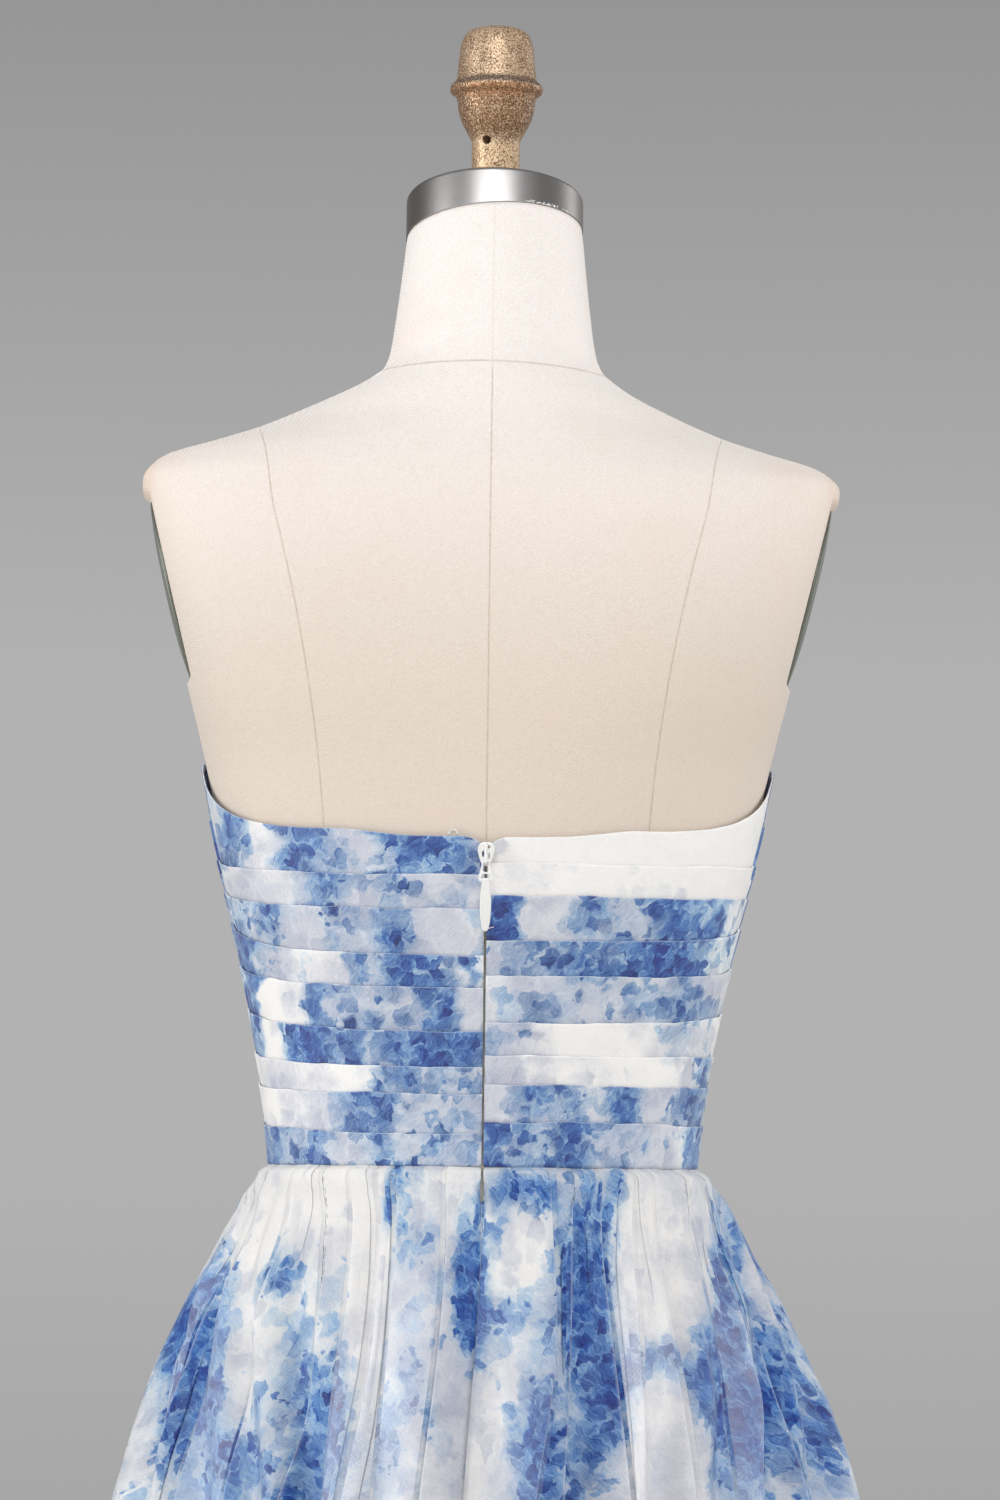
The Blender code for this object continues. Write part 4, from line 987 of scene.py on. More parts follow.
def linen_cover(settings):
    """The form's twill cover, with its seams and handling marks, and painted shade that darkens it
    towards the bottom.
    """
    finish = Finish("cream_twill_cover")
    place = finish.place()
    x, y, z = (place.part(axis) for axis in "XYZ")
    pitch = settings.twill
    slub = finish.noise(place * (1.0, 1.0, 2.2), 0.0011, 2.0, 0.6).out("Fac")
    twill = ((x * 0.80 + y * 0.30 + z) * (2 * math.pi / pitch) + slub * 1.5).sine() * 0.5 + 0.5
    cloud = finish.noise(place, 0.055, 3.0, 0.5).out("Fac")
    # Painted shade: the cover turns darker and warmer towards the bottom, where less light falls from
    # above.
    low = 1 - z.step(1.26, 1.50)
    shaded_toward_bottom = finish.mixed(low, colour_of(settings, "linen"), colour_of(settings, "linen_low"))
    threads = finish.noise(place * (1.0, 1.0, 1.6), 0.0014, 1.0, 0.5).out("Fac")
    weave = (twill * 0.18 + (slub - 0.40) * 0.85 + (threads - 0.45) * 0.22).most(0.0)
    shade = finish.mixed(weave, shaded_toward_bottom, paint(186, 168, 148))
    soil = cloud.step(0.48, 0.74) * 0.16
    at_arm = abs(x).step(0.150, 0.186) * z.step(1.20, 1.30) * (0.10 + cloud * 0.3)
    corner = abs(x).step(0.1765, 0.1830) * z.step(1.365, 1.385) * slub.step(0.36, 0.60) * 0.55
    at_arm = at_arm + corner
    shade = finish.mixed((soil + at_arm).least(1.0), shade, colour_of(settings, "stain"))

    rise = z - PRINCESS_LEVEL
    half = settings.seam_width / 2
    behind = y.step(0.010, 0.018)
    below_neck = 1 - z.step(1.4660, 1.4666)
    middle = abs(x) - half
    princess = rise * rise * 0.60 + rise * 0.068 + 0.085 - z.step(1.38, 1.425) * 0.0045
    panel = abs(abs(x) - princess) - half
    neck = abs(z - (y.least(0.0) * 0.35 + NECK_SEAM_LEVEL - x * x * 0.75 + x * 0.014)) - half
    shoulder = abs(y - PLATE_CENTRE_Y) - half
    line_middle = (1 - middle.step(-0.0002, 0.0005)) * (1 - z.step(1.455, 1.475) * 0.7)
    line_panel = (1 - panel.step(-0.0002, 0.0005)) * behind * below_neck * (1 - z.step(1.427, 1.434))
    line_neck = 1 - neck.step(-0.0002, 0.0006)
    line_side = (1 - shoulder.step(-0.0002, 0.0005)) * below_neck
    seams = line_middle.most(line_panel).most(line_neck).most(line_side)
    broken = finish.noise(place, 0.004, 2.0, 0.6).out("Fac").step(0.25, 0.62) * 0.55 + 0.35
    shade = finish.mixed(seams * broken * 0.62, shade, colour_of(settings, "seam"))
    pucker_of = middle.least(panel).least(neck).least(shoulder)
    pucker = (1 - pucker_of.step(0.0, 0.005)) * finish.noise(place, 0.007, 1.0, 0.5).out("Fac")
    height = twill * 0.35 + slub * 0.5 + pucker * 1.2 - seams * 2.0
    return finish.surface({
        "Base Color": shade, "Roughness": 0.86 + slub * 0.10,
        "Normal": finish.bump(height, 0.0003, 0.45),
        "Sheen Weight": 0.2, "Specular IOR Level": 0.25,
    })


def brushed_steel(settings):
    """Brushed round the neck, so its lines run level in the cap's own tilt. Its left and right edges
    carry painted shade and dark reflection.
    """
    finish = Finish("brushed_neck_cap")
    place = finish.place()
    x, y, z = (place.part(axis) for axis in "XYZ")
    up = z * math.cos(NECK_TILT) - y * math.sin(NECK_TILT)
    around = finish.vector(x * 0.04, y * 0.04, up)
    brush = finish.noise(around, 0.00035, 3.0, 0.6).out("Fac")
    blotch = finish.noise(place, 0.020, 2.0, 0.5).out("Fac")
    tone = brush * 0.35 + blotch * 0.15
    tone = finish.mixed(tone, colour_of(settings, "steel"), paint(150, 148, 147))
    # Painted shade and dark reflection: the cap is drawn darker towards its left and right edges.
    right = x * -1.0
    painted_edge_shade = x.step(0.025, 0.046) * 0.72 + right.step(0.018, 0.026) * 0.22
    painted_edge_shade = painted_edge_shade + right.step(0.034, 0.047) * 0.34
    tone = finish.mixed(painted_edge_shade, tone, paint(84, 74, 68))
    return finish.surface({
        "Base Color": tone, "Metallic": 1.0, "Roughness": brush * 0.18 + 0.29,
        "Normal": finish.bump(brush, 0.00008, 0.5),
    })


def speckled_gold(settings):
    """Aged gold with sharp brown specks, browner on the bulb and along the flange, and painted shade
    that darkens it towards its left and right sides.
    """
    finish = Finish("aged_gold_finial")
    place = finish.place()
    x, z = place.part("X"), place.part("Z")
    speck = finish.noise(place, 0.0009, 2.0, 0.65).out("Fac")
    worn = finish.noise(place, 0.007, 3.0, 0.6).out("Fac")
    bulb = z.step(1.5965, 1.6050) * (1 - z.step(1.6200, 1.6240))
    under = z.step(1.6195, 1.6225) * (1 - z.step(1.6262, 1.6280))
    lip = z.step(1.6268, 1.6284) * (1 - z.step(1.6305, 1.6325))
    stem = 1 - z.step(1.5930, 1.5985)
    tone = finish.mixed(stem * 0.8, colour_of(settings, "gold"), paint(236, 202, 160))
    tone = finish.mixed(bulb * 0.72, tone, paint(140, 96, 54))
    tone = finish.mixed(under * 0.75, tone, paint(176, 116, 66))
    tone = finish.mixed(lip * 0.85, tone, paint(92, 82, 74))
    tone = finish.mixed(worn.step(0.48, 0.70) * 0.28, tone, colour_of(settings, "gold_dark"))
    # Painted shade: the finial is drawn darker towards its left and right sides, as it would fall off
    # from the light.
    to_side = (abs(x) / (0.0165 - stem * 0.005)).step(0.55, 1.25)
    tone = finish.mixed(to_side * 0.55, tone, paint(104, 72, 44))
    sharp = (speck + bulb * 0.02 + (worn - 0.5) * 0.20).step(0.50, 0.60)
    tone = finish.mixed(sharp * 0.85, tone, colour_of(settings, "gold_dark"))
    tone = finish.mixed((1 - speck.step(0.36, 0.46)) * 0.6, tone, paint(246, 226, 200))
    return finish.surface({
        "Base Color": tone, "Metallic": 0.40 - sharp * 0.25, "Roughness": 0.42 + sharp * 0.28,
        "Normal": finish.bump(speck * 0.6 + worn, 0.0005, 0.5),
    })


def plain_metal(name, colour, metallic, roughness, grain=0.0012):
    """Painted or cast metal with a slight grain."""
    finish = Finish(name)
    place = finish.place()
    speck = finish.noise(place, grain, 3.0, 0.6).out("Fac")
    blotch = finish.noise(place, 0.03, 2.0, 0.5).out("Fac")
    darker = tuple(value * 0.72 for value in colour)
    tone = finish.mixed(speck * 0.3 + blotch * 0.35, colour, darker)
    return finish.surface({
        "Base Color": tone, "Metallic": metallic, "Roughness": blotch * 0.15 + roughness,
        "Normal": finish.bump(speck, 0.00015, 0.4), "Coat Weight": blotch * 0.1,
    })


# ---------------------------------------------------------------- the form

def make_form_torso(settings):
    levels = np.concatenate([
        np.linspace(FORM_BASE, 1.390, 168, endpoint=False),
        np.linspace(1.390, 1.470, 40, endpoint=False),
        np.linspace(1.470, NECK_LEVEL, 32),
    ])
    angles = np.arange(settings.ring_columns) * 360 / settings.ring_columns
    points = form_points(levels[:, None], angles[None, :])
    points[..., 2] -= neck_slant(points[..., 0]) * ease((levels[:, None] - 1.49) / (NECK_LEVEL - 1.49))
    sloping = ease((levels[:, None] - 1.395) / 0.025) * (1 - ease((levels[:, None] - 1.445) / 0.030))
    points[..., 2] -= RIGHT_SHOULDER_DROP * sloping * ease(-points[..., 0] / 0.110)
    mesh = grid_mesh("form_cover", [{"points": points}], closed_round=True, capped=True)
    make_piece("form_cover", mesh, linen_cover(settings), replaces=["form_torso"])


def neck_slant(x):
    """How far the cover's top edge dips at the wearer's left, and climbs at the right."""
    return 0.0028 * x / CAP_RADIUS


def neck_frame():
    return Matrix.Translation((0, NECK_CENTRE_Y, NECK_LEVEL)) @ Matrix.Rotation(NECK_TILT, 4, "X")


def make_neck_cap(settings):
    edge, lip = 0.0026, 0.0006
    rim = [(CAP_HEIGHT - edge * (1 - math.cos(t)), CAP_RADIUS - edge * (1 - math.sin(t)))
           for t in (math.radians(9 * k) for k in range(11))]
    foot = [(lip, CAP_RADIUS), (0.0003, CAP_RADIUS - lip), (0.0003, CAP_RADIUS - 0.003)]
    profile = [(CAP_HEIGHT, 0.0), (CAP_HEIGHT, CAP_RADIUS * 0.6)] + rim + foot + [(0.0003, 0.0)]
    mesh = turned_mesh("neck_cap_metal", profile, 160)
    for corner in mesh.vertices:
        if corner.co.z < CAP_HEIGHT / 2:
            corner.co.z -= neck_slant(corner.co.x)
    mesh.transform(neck_frame())
    make_piece("neck_cap_metal", mesh, brushed_steel(settings), replaces=["neck_cap"])


def make_finial(settings):
    crown, stem = FINIAL_PROFILE[:5], FINIAL_PROFILE[5:]
    outline = [crown[0]] + softened(crown[1:] + stem[:-1], 2)
    profile = outline + [stem[-1], (stem[-1][0], 0.0)]
    mesh = turned_mesh("finial_knob", profile, 96, Matrix.Translation((0, NECK_CENTRE_Y, 0)))
    finish = speckled_gold(settings)
    piece = make_piece("finial_knob", mesh, finish, replaces=["finial"])

    shape = bmesh.new()
    bmesh.ops.create_cone(shape, cap_ends=True, segments=32, radius1=PIN_HOLE_RADIUS,
                          radius2=PIN_HOLE_RADIUS, depth=4 * CAP_RADIUS)
    turn = Matrix.Rotation(-PIN_HOLE_TURN, 4, "Z") @ Matrix.Rotation(math.radians(90), 4, "X")
    shape.transform(Matrix.Translation((0, NECK_CENTRE_Y, PIN_HOLE_LEVEL)) @ turn)
    cutter = placed("pin_hole", mesh_of(shape, "pin_hole"))
    piece.modifiers.new("pin_hole", "BOOLEAN").object = cutter
    mesh = evaluated_mesh(piece)
    piece.modifiers.clear()
    piece.data = smooth_but_creased(mesh)
    bpy.data.objects.remove(cutter, do_unlink=True)


def make_arm_plates(settings):
    finish = plain_metal("arm_plate_metal", colour_of(settings, "plate"), 0.75, 0.38)
    across = PLATE_TOP[0] - PLATE_FOOT[0]
    rise = PLATE_TOP[1] - PLATE_FOOT[1]
    lean = math.atan2(across, rise)
    half_height = math.hypot(across, rise) / 2
    steps, rim, dome, back = 128, 0.0014, 0.036, -PLATE_THICKNESS / 2
    turns = np.arange(steps) * 2 * math.pi / steps
    section = []
    for inset in (dome, 0.030, 0.024, 0.018, 0.013, 0.009, 0.006, 0.003, 0.001, 0.0003):
        domed = 1 - (1 - inset / dome) ** 2
        section.append((-inset, back + rim + (PLATE_THICKNESS - rim) * domed))
    section += [(0.0, back + rim * 0.7), (0.0, back + 0.0003), (-0.0003, back)]
    for side, name in ((1, "arm_plate_left"), (-1, "arm_plate_right")):
        rows = []
        for inset, height in reversed(section):
            x, y = (half_height + inset) * np.cos(turns), (PLATE_HALF_DEPTH + inset) * np.sin(turns)
            rows.append(np.stack([x, y, np.full(steps, height)], axis=-1))
        mesh = grid_mesh(name + "_disc", [{"points": np.array(rows)}], closed_round=True, capped=True)
        middle = ((PLATE_TOP[0] + PLATE_FOOT[0]) / 2, (PLATE_TOP[1] + PLATE_FOOT[1]) / 2)
        outer = Vector((side * middle[0], PLATE_CENTRE_Y, middle[1]))
        inward = Vector((-side * math.cos(lean), 0, math.sin(lean))) * PLATE_THICKNESS / 2
        tip = Matrix.Rotation(side * (math.radians(90) + lean), 4, "Y")
        mesh.transform(Matrix.Translation(outer + inward) @ tip)
        mesh.set_sharp_from_angle(angle=SHARP_ANGLE)
        make_piece(name + "_disc", mesh, finish, replaces=[name])


def make_stand(settings):
    finish = plain_metal("stand_paint", colour_of(settings, "stand"), 0.25, 0.36, 0.002)
    collar, rim = POLE_RADIUS + 0.012, 0.012
    profile = [
        (BASE_HEIGHT, POLE_RADIUS), (BASE_HEIGHT, collar - 0.003), (BASE_HEIGHT - 0.003, collar),
        (0.046, collar + 0.001), (0.036, collar + 0.008), (0.031, collar + 0.030),
        (0.024, BASE_RADIUS - 0.030), (rim + 0.005, BASE_RADIUS - 0.004), (rim, BASE_RADIUS),
        (0.003, BASE_RADIUS), (0.0, BASE_RADIUS - 0.003),
    ]
    outline = [(BASE_HEIGHT, 0.0), profile[0]] + softened(profile[1:-1], 2) + [profile[-1], (0.0, 0.0)]
    base = turned_mesh("stand_foot", outline, 160)
    make_piece("stand_foot", base, finish, replaces=["stand_base"])
    top, foot = FORM_BASE - 0.0003, BASE_HEIGHT + 0.0003
    thin = POLE_RADIUS - 0.0012
    grip = [(top, POLE_RADIUS), (0.730, POLE_RADIUS), (0.728, thin), (foot, thin)]
    pole = turned_mesh("stand_tube", [(top, 0.0)] + grip + [(foot, 0.0)], 64)
    make_piece("stand_tube", pole, finish, replaces=["stand_pole"])


# ---------------------------------------------------------------- the bodice

def back_top(angle):
    away = 1 - np.abs(np.sin(np.radians(angle)))
    return BACK_TOP + 0.004 * ease(away * 8) + (SIDE_RISE - 0.004) * away ** 2.4


def front_top(angle):
    side = BACK_TOP + SIDE_RISE
    to_centre = 1 - np.abs(angle - 270) / 90
    climb = mix(side, CUP_TOP, ease(to_centre / 0.60))
    return mix(climb, DIP_TOP, ease((to_centre - 0.60) / 0.40))


def pleat_line(pleat, share):
    start, end = pleat
    return mix(start, end, share ** 2.5)


def band_section(settings):
    """Across a band, from its hidden lower end to its folded edge and back down inside: the place
    up the band as a share, what is added to it in metres, the lift, and how near the edge it is,
    which the print paints paler, partly as doubled cloth and partly as a painted highlight on the fold."""
    low, high, roll, turn = settings.lowest, settings.proud, settings.roll, settings.turn
    rows = [(0.0, -settings.tuck, low, 0.0), (0.0, -settings.tuck * 0.4, mix(low, high, 0.05), 0.0)]
    for k in range(10):
        share = k / 9
        crown = 0.00025 * math.sin(math.pi * share)
        rows.append((share, -roll * 1.6 * (k == 9), mix(low + 0.0003, high, share ** 1.3) + crown, 0.0))
    for k in range(1, 7):
        bend = math.radians(30 * k)
        back, lower = roll * (1 - math.sin(bend)), roll * (1 - math.cos(bend))
        rows.append((1.0, -back, high - lower, math.sin(bend)))
    rows.append((1.0, -turn * 0.5, high - 2.1 * roll, 0.0))
    rows.append((1.0, -turn, high - 2.3 * roll, 0.0))
    return rows


def bands(settings, angles, shares, pleats, top, blooms, seed, zip_lip):
    """Every pleat's band of a panel, as grids whose columns follow the angles."""
    lines = [np.zeros_like(angles)] + [pleat_line(pleat, shares) for pleat in pleats] + [top]
    middle = bodice_points(angles, 0.09, 0.0)
    run = np.concatenate([[0.0], np.cumsum(np.linalg.norm(np.diff(middle, axis=0), axis=1))])
    if zip_lip < 0:
        run = run - run[-1]
    to_side = (1 - shares) * run_length(run)
    side_calm = mix(0.55, 1.0, ease(to_side / 0.025))
    seam_turn = 0.0007 * np.clip(1 - to_side / 0.0009, 0.0, 1.0) ** 2
    lip = lip_depth(len(angles), zip_lip)
    # The turned-in edge at the zip is marked as an edge too, so it is painted paler: doubled cloth and
    # a painted highlight.
    at_zip = np.minimum(lip / LIP[0] * 1.6, 1.0)
    grids = []
    for k, (lower, upper) in enumerate(zip(lines, lines[1:])):
        fret = drift(run / 0.021, k * 3.7, seed) + 0.6 * drift(run / 0.006, k * 5.1, seed + 1)
        fret = settings.wobble * fret
        quiet = ease(np.abs(run) / 0.010)
        upper_line = upper + fret * quiet * (0.3 if k == len(lines) - 2 else 1.0)
        points, places, full, haze, edges = [], [], [], [], []
        for share, extra, lift, edge in band_section(settings):
            height = mix(lower, upper_line, share) + extra
            if k == 0:
                height = np.maximum(height, 0.0004)
            ripple = 0.00022 * drift(run / 0.017, height / 0.006 + k * 9, seed + 2) * (1 - edge) * quiet
            relief = mix(settings.lowest, lift, side_calm) + ripple * side_calm
            if k == 0 and share == 0.0:
                relief = relief - 0.0005
            relief = relief - lip - seam_turn
            points.append(bodice_points(angles, height, relief))
            blue, grey = band_bloom(blooms[k], np.abs(points[-1][:, 0]), height, k, seed)
            full.append(blue)
            haze.append(grey)
            places.append(np.stack([run + seed * 0.41, height + k * 0.057 + seed * 0.23], axis=-1))
            edges.append(np.maximum(edge, at_zip))
        grids.append({
            "points": np.array(points), "uv": np.array(places),
            "marks": {"bloom": np.array(full), "haze": np.array(haze), "edge": np.array(edges)},
        })
    return grids


LIP = (0.0020, 0.0012, 0.0005)      # how deep the folded edge at the zip turns in, column by column


def run_length(run):
    """About how far it is across half of a panel that the run goes over."""
    return float(np.ptp(run)) if np.ptp(run) < 0.25 else float(np.ptp(run)) / 2


def lip_depth(count, zip_lip):
    """How far each column is turned in towards the form, at the end that meets the zip."""
    depth = np.zeros(count)
    if zip_lip > 0:
        depth[:len(LIP)] = LIP
    elif zip_lip < 0:
        depth[-len(LIP):] = LIP[::-1]
    return depth


def band_bloom(blooms, across, height, k, seed):
    """How full of blue, and of grey, the print is along a band."""
    jag = 0.004 * drift(height / 0.005, across / 0.03 + k * 3.0, seed + 8)
    right = 1.0 if seed == 2 else 0.0
    full = 0.06 + 0.02 * right + 0.24 * drift(across / 0.034, k * 2.3 + seed, seed + 5)
    at_side = ease((across - 0.095) / 0.030)
    haze = mix(0.46 + 0.14 * right, 0.14, at_side)
    haze = haze + 0.44 * drift(across / 0.028, k * 1.9 + seed, seed + 6)
    for place, half, blue, grey in blooms:
        here = np.exp(-np.abs((across + jag - place) / half) ** 3)
        full = full + blue * 0.90 * here
        haze = haze + grey * 1.6 * here
    return full, haze


def panel_columns(start, end, count, zip_lip, settings):
    """Angles across a panel, with three more where its edge turns in at the zip."""
    at_zip = math.degrees(settings.zip_side / BODICE_RADIUS)
    lip = [math.degrees(away / BODICE_RADIUS) for away in (0.00022, 0.00005, 0.0)]
    if zip_lip > 0:
        flat = np.linspace(start + at_zip, end, count)
        return np.concatenate([start + at_zip + np.array(lip) * 0.6, flat, [end + 0.02]])
    if zip_lip < 0:
        flat = np.linspace(start, end - at_zip, count)
        return np.concatenate([[start - 0.02], flat, end - at_zip - np.array(lip[::-1]) * 0.6])
    return np.concatenate([[start - 0.02], np.linspace(start, end, count), [end + 0.02]])


def make_bodice(settings, print_settings):
    finish = printed_cloth("printed_bodice_cloth", print_settings)
    panels = (
        # name, first and last angle, columns, middle line, pleats, top edge, bouquets, seed, zip's side
        ("back_left", 0, 90, 150, 90, LEFT_PLEATS, back_top, LEFT_BLOOMS, 1, -1),
        ("back_right", 90, 180, 150, 90, RIGHT_PLEATS, back_top, RIGHT_BLOOMS, 2, 1),
        ("front", 180, 360, 300, 270, FRONT_PLEATS, front_top, front_blooms(), 3, 0),
    )
    for name, first, last, count, middle, pleats, top_of, blooms, seed, zip_lip in panels:
        angles = panel_columns(first, last, count, zip_lip, settings)
        shares = np.clip(np.abs(angles - middle) / 90, 0.0, 1.0)
        top = top_of(angles)
        if zip_lip:
            from_zip = np.abs(angles - 90) * math.radians(1) * BODICE_RADIUS - settings.zip_side
            inside = np.clip(1 - from_zip / settings.corner, 0.0, 1.0)
            top = top - settings.corner * (1 - np.sqrt(1 - inside ** 2))
        grids = bands(settings, angles, shares, pleats, top, blooms, seed, zip_lip)
        mesh = grid_mesh("bodice_" + name + "_pleats", grids)
        piece = make_piece(mesh.name, mesh, finish, replaces=["bodice_" + name])


def front_blooms():
    """The front's bouquets: three in each band, at uneven places."""
    chance = np.random.default_rng(31)
    rows = []
    for _ in range(len(FRONT_PLEATS) + 1):
        row = []
        for place in (0.025, 0.070, 0.115):
            row.append((place + chance.uniform(-0.015, 0.015), chance.uniform(0.010, 0.022),
                        chance.uniform(-0.7, 1.1), chance.uniform(0.0, 0.5)))
        rows.append(tuple(row) + ((0.150, 0.014, 1.2, 0.0),))
    return rows


# ---------------------------------------------------------------- the skirt

def knife_shares(knives, drops, middle_line, side_line):
    """Where each folded edge lies, as a share from the middle line to the side seam, row by row."""
    hanging = np.clip(drops, 0.0, FREE_DROP)
    half_width = read_table(SKIRT_SECTIONS, SKIRT_COLUMNS, "half_width", hanging)
    spread = np.array([abs(side_line(drop) - middle_line(drop)) for drop in hanging])
    shares = []
    for waist, middle, free, *_ in knives:
        across = curve_through((0.0, MIDDLE_DROP, FREE_DROP), (waist, middle, free), hanging)
        cosine = np.minimum(across / half_width, 1.0) ** (SKIRT_SQUARENESS / 2)
        from_side = np.degrees(np.arccos(cosine))
        shares.append((90 - from_side) / spread)
    return np.array(shares)


# Across a folded edge, in the lap's share and then in metres, with the height as a share.
KNIFE_SECTION = (
    (0.0, -0.0016, 1.00), (0.0, -0.0006, 1.00), (0.0, -0.0001, 0.94), (0.0, 0.0000, 0.84),
    (0.0, -0.0003, 0.74), (0.0, -0.0012, 0.68), (-0.5, 0.0, 0.60), (-1.0, 0.0008, 0.50),
    (-1.0, 0.0, 0.38), (-1.0, 0.0008, 0.26), (-0.5, 0.0, 0.16), (0.0, 0.0, 0.06),
    (0.0, 0.0030, 0.0),
)
# How strongly each column across a folded edge is marked as the edge, painted paler: partly doubled
# sheer cloth, partly a painted highlight.
KNIFE_TIP = (0.0, 0.35, 0.9, 1.0, 0.6, 0.15)


def half_panel(knives, drops, middle_line, side_line, pitch):
    """Columns from the middle line to the side seam: angles, lifts and how near an edge each is, which
    the print paints paler, partly as doubled sheer cloth and partly as a painted highlight.
    """
    shares = knife_shares(knives, drops, middle_line, side_line)
    start, end = column(knives, KNIFE_COLUMNS, "start"), column(knives, KNIFE_COLUMNS, "end")
    lap, lift = column(knives, KNIFE_COLUMNS, "lap"), column(knives, KNIFE_COLUMNS, "lift")
    rows_lift, rows_angle = [], []
    counts = None
    for i, drop in enumerate(drops):
        turn = np.linspace(middle_line(drop), side_line(drop), 400)
        outline = skirt_points(turn, np.full(400, max(drop, 0.0)), 0.0)
        run = np.concatenate([[0.0], np.cumsum(np.linalg.norm(np.diff(outline, axis=0), axis=1))])
        edges = np.interp(shares[:, i], np.linspace(0, 1, 400), run)
        shown = ease((drop - start) / 0.030) * (1 - ease((drop - end + 0.10) / 0.10))
        before = np.diff(np.concatenate([[0.0], edges]))
        laps = np.minimum(lap * shown * mix(1.0, 0.65, ease(drop / HEM_DROP)), before * 0.62) + 0.0004
        lifts = lift * shown * mix(0.14, 1.0, ease((drop - 0.010) / 0.110)) + 0.00002
        if counts is None:
            bounds = np.concatenate([[0.0], edges, run[-1:]])
            counts = [max(5, round(width / pitch)) for width in np.diff(bounds)]
        places, heights = [], []
        at = 0.0
        for k in range(len(edges) + 1):
            last = k == len(edges)
            goal = run[-1] if last else edges[k] - 0.0016
            top = 0.0 if last else lifts[k]
            step = np.linspace(0, 1, counts[k], endpoint=last)
            places.append(mix(at, goal, step))
            heights.append(top * ease(step) ** 1.4)
            if not last:
                section = np.array(KNIFE_SECTION)
                places.append(edges[k] + laps[k] * section[:, 0] + section[:, 1])
                heights.append(lifts[k] * section[:, 2])
                at = edges[k] + section[-1, 1]
        places, heights = np.concatenate(places), np.concatenate(heights)
        rows_lift.append(heights)
        rows_angle.append(np.interp(places, run, turn))
    tips = []
    for k, count in enumerate(counts):
        tips.append(np.zeros(count))
        if k < len(knives):
            tip = np.zeros(len(KNIFE_SECTION))
            tip[:len(KNIFE_TIP)] = KNIFE_TIP
            tips.append(tip)
    strips = np.concatenate([np.full(len(t), k // 2) for k, t in enumerate(tips)])
    veils = np.append(column(knives, KNIFE_COLUMNS, "veil"), 0.0)[strips] * 1.6
    tips = np.concatenate(tips)
    fade = np.array([ease((drop - 0.004) / 0.02) for drop in drops])[:, None]
    veiled = veils[None, :] * np.array([ease((drop - 0.010) / 0.09) for drop in drops])[:, None]
    return {
        "lift": np.array(rows_lift), "angle": np.array(rows_angle),
        "edge": np.maximum(tips[None, :] * fade, veiled), "strip": strips,
    }


def skirt_drops(rows=112):
    """Drops of the rows from the hem up to behind the bodice, closer near the waist."""
    share = np.linspace(0, 1, rows)
    falling = 0.0012 + (HEM_DROP - 0.0012) * share ** 1.55
    return np.concatenate([falling[::-1], [0.0002, -0.0010, -0.0022]])


def cloth_bloom(points, arc, drop, strip, seed):
    """How full of blue, and of grey, the skirt's print is at a place. On the back, part of the grey is
    painted shade: towards the wearer's right, and on some strips between the folds.
    """
    x, y = points[..., 0], points[..., 1]
    shift = 0.020 * drift(strip * 1.7 + 0.5, seed * 3.1, seed + 11)
    aside = x + 0.006 * drift(strip * 2.3 + 0.5, seed * 1.7, seed + 12)
    full = 0.24 + 0.80 * drift(arc / 0.050 + 4, (drop + shift) / 0.052 + seed, seed + 3)
    full = full + 0.20 * drift(strip * 1.3, drop / 0.05, seed + 9)
    haze = 0.16 + 0.50 * drift(arc / 0.040 + 9, (drop + shift) / 0.046 + seed, seed + 4)
    seen = np.where(y > 0, 1 - ease((drop - 0.185) / 0.04), 0.0)
    full = full * mix(1.0, 0.28, seen) - 0.06 * seen
    haze = haze * mix(1.0, 0.60, seen)
    # Painted shade: grey added on the back towards the wearer's right. On some strips the grey is
    # painted shade between folds and also stands for a doubled printed layer.
    right_side_shade = 0.16 * ease(0.5 - x / 0.10) * ease(drop / 0.05)
    shaded = 0.30 * np.maximum(drift(strip * 1.9 + 0.3, seed * 2.3, seed + 14), 0.0) * ease(drop / 0.06)
    haze = haze + seen * (0.10 + right_side_shade + shaded)
    for across, at, half_width, half_height, blue, grey in BACK_BOUQUETS:
        away = np.abs((aside - across) / half_width) ** 3
        here = np.exp(-away - np.abs((drop + shift - at) / half_height) ** 2.5)
        full = full + blue * 0.88 * here * seen
        haze = haze + grey * here * seen
    return full, haze


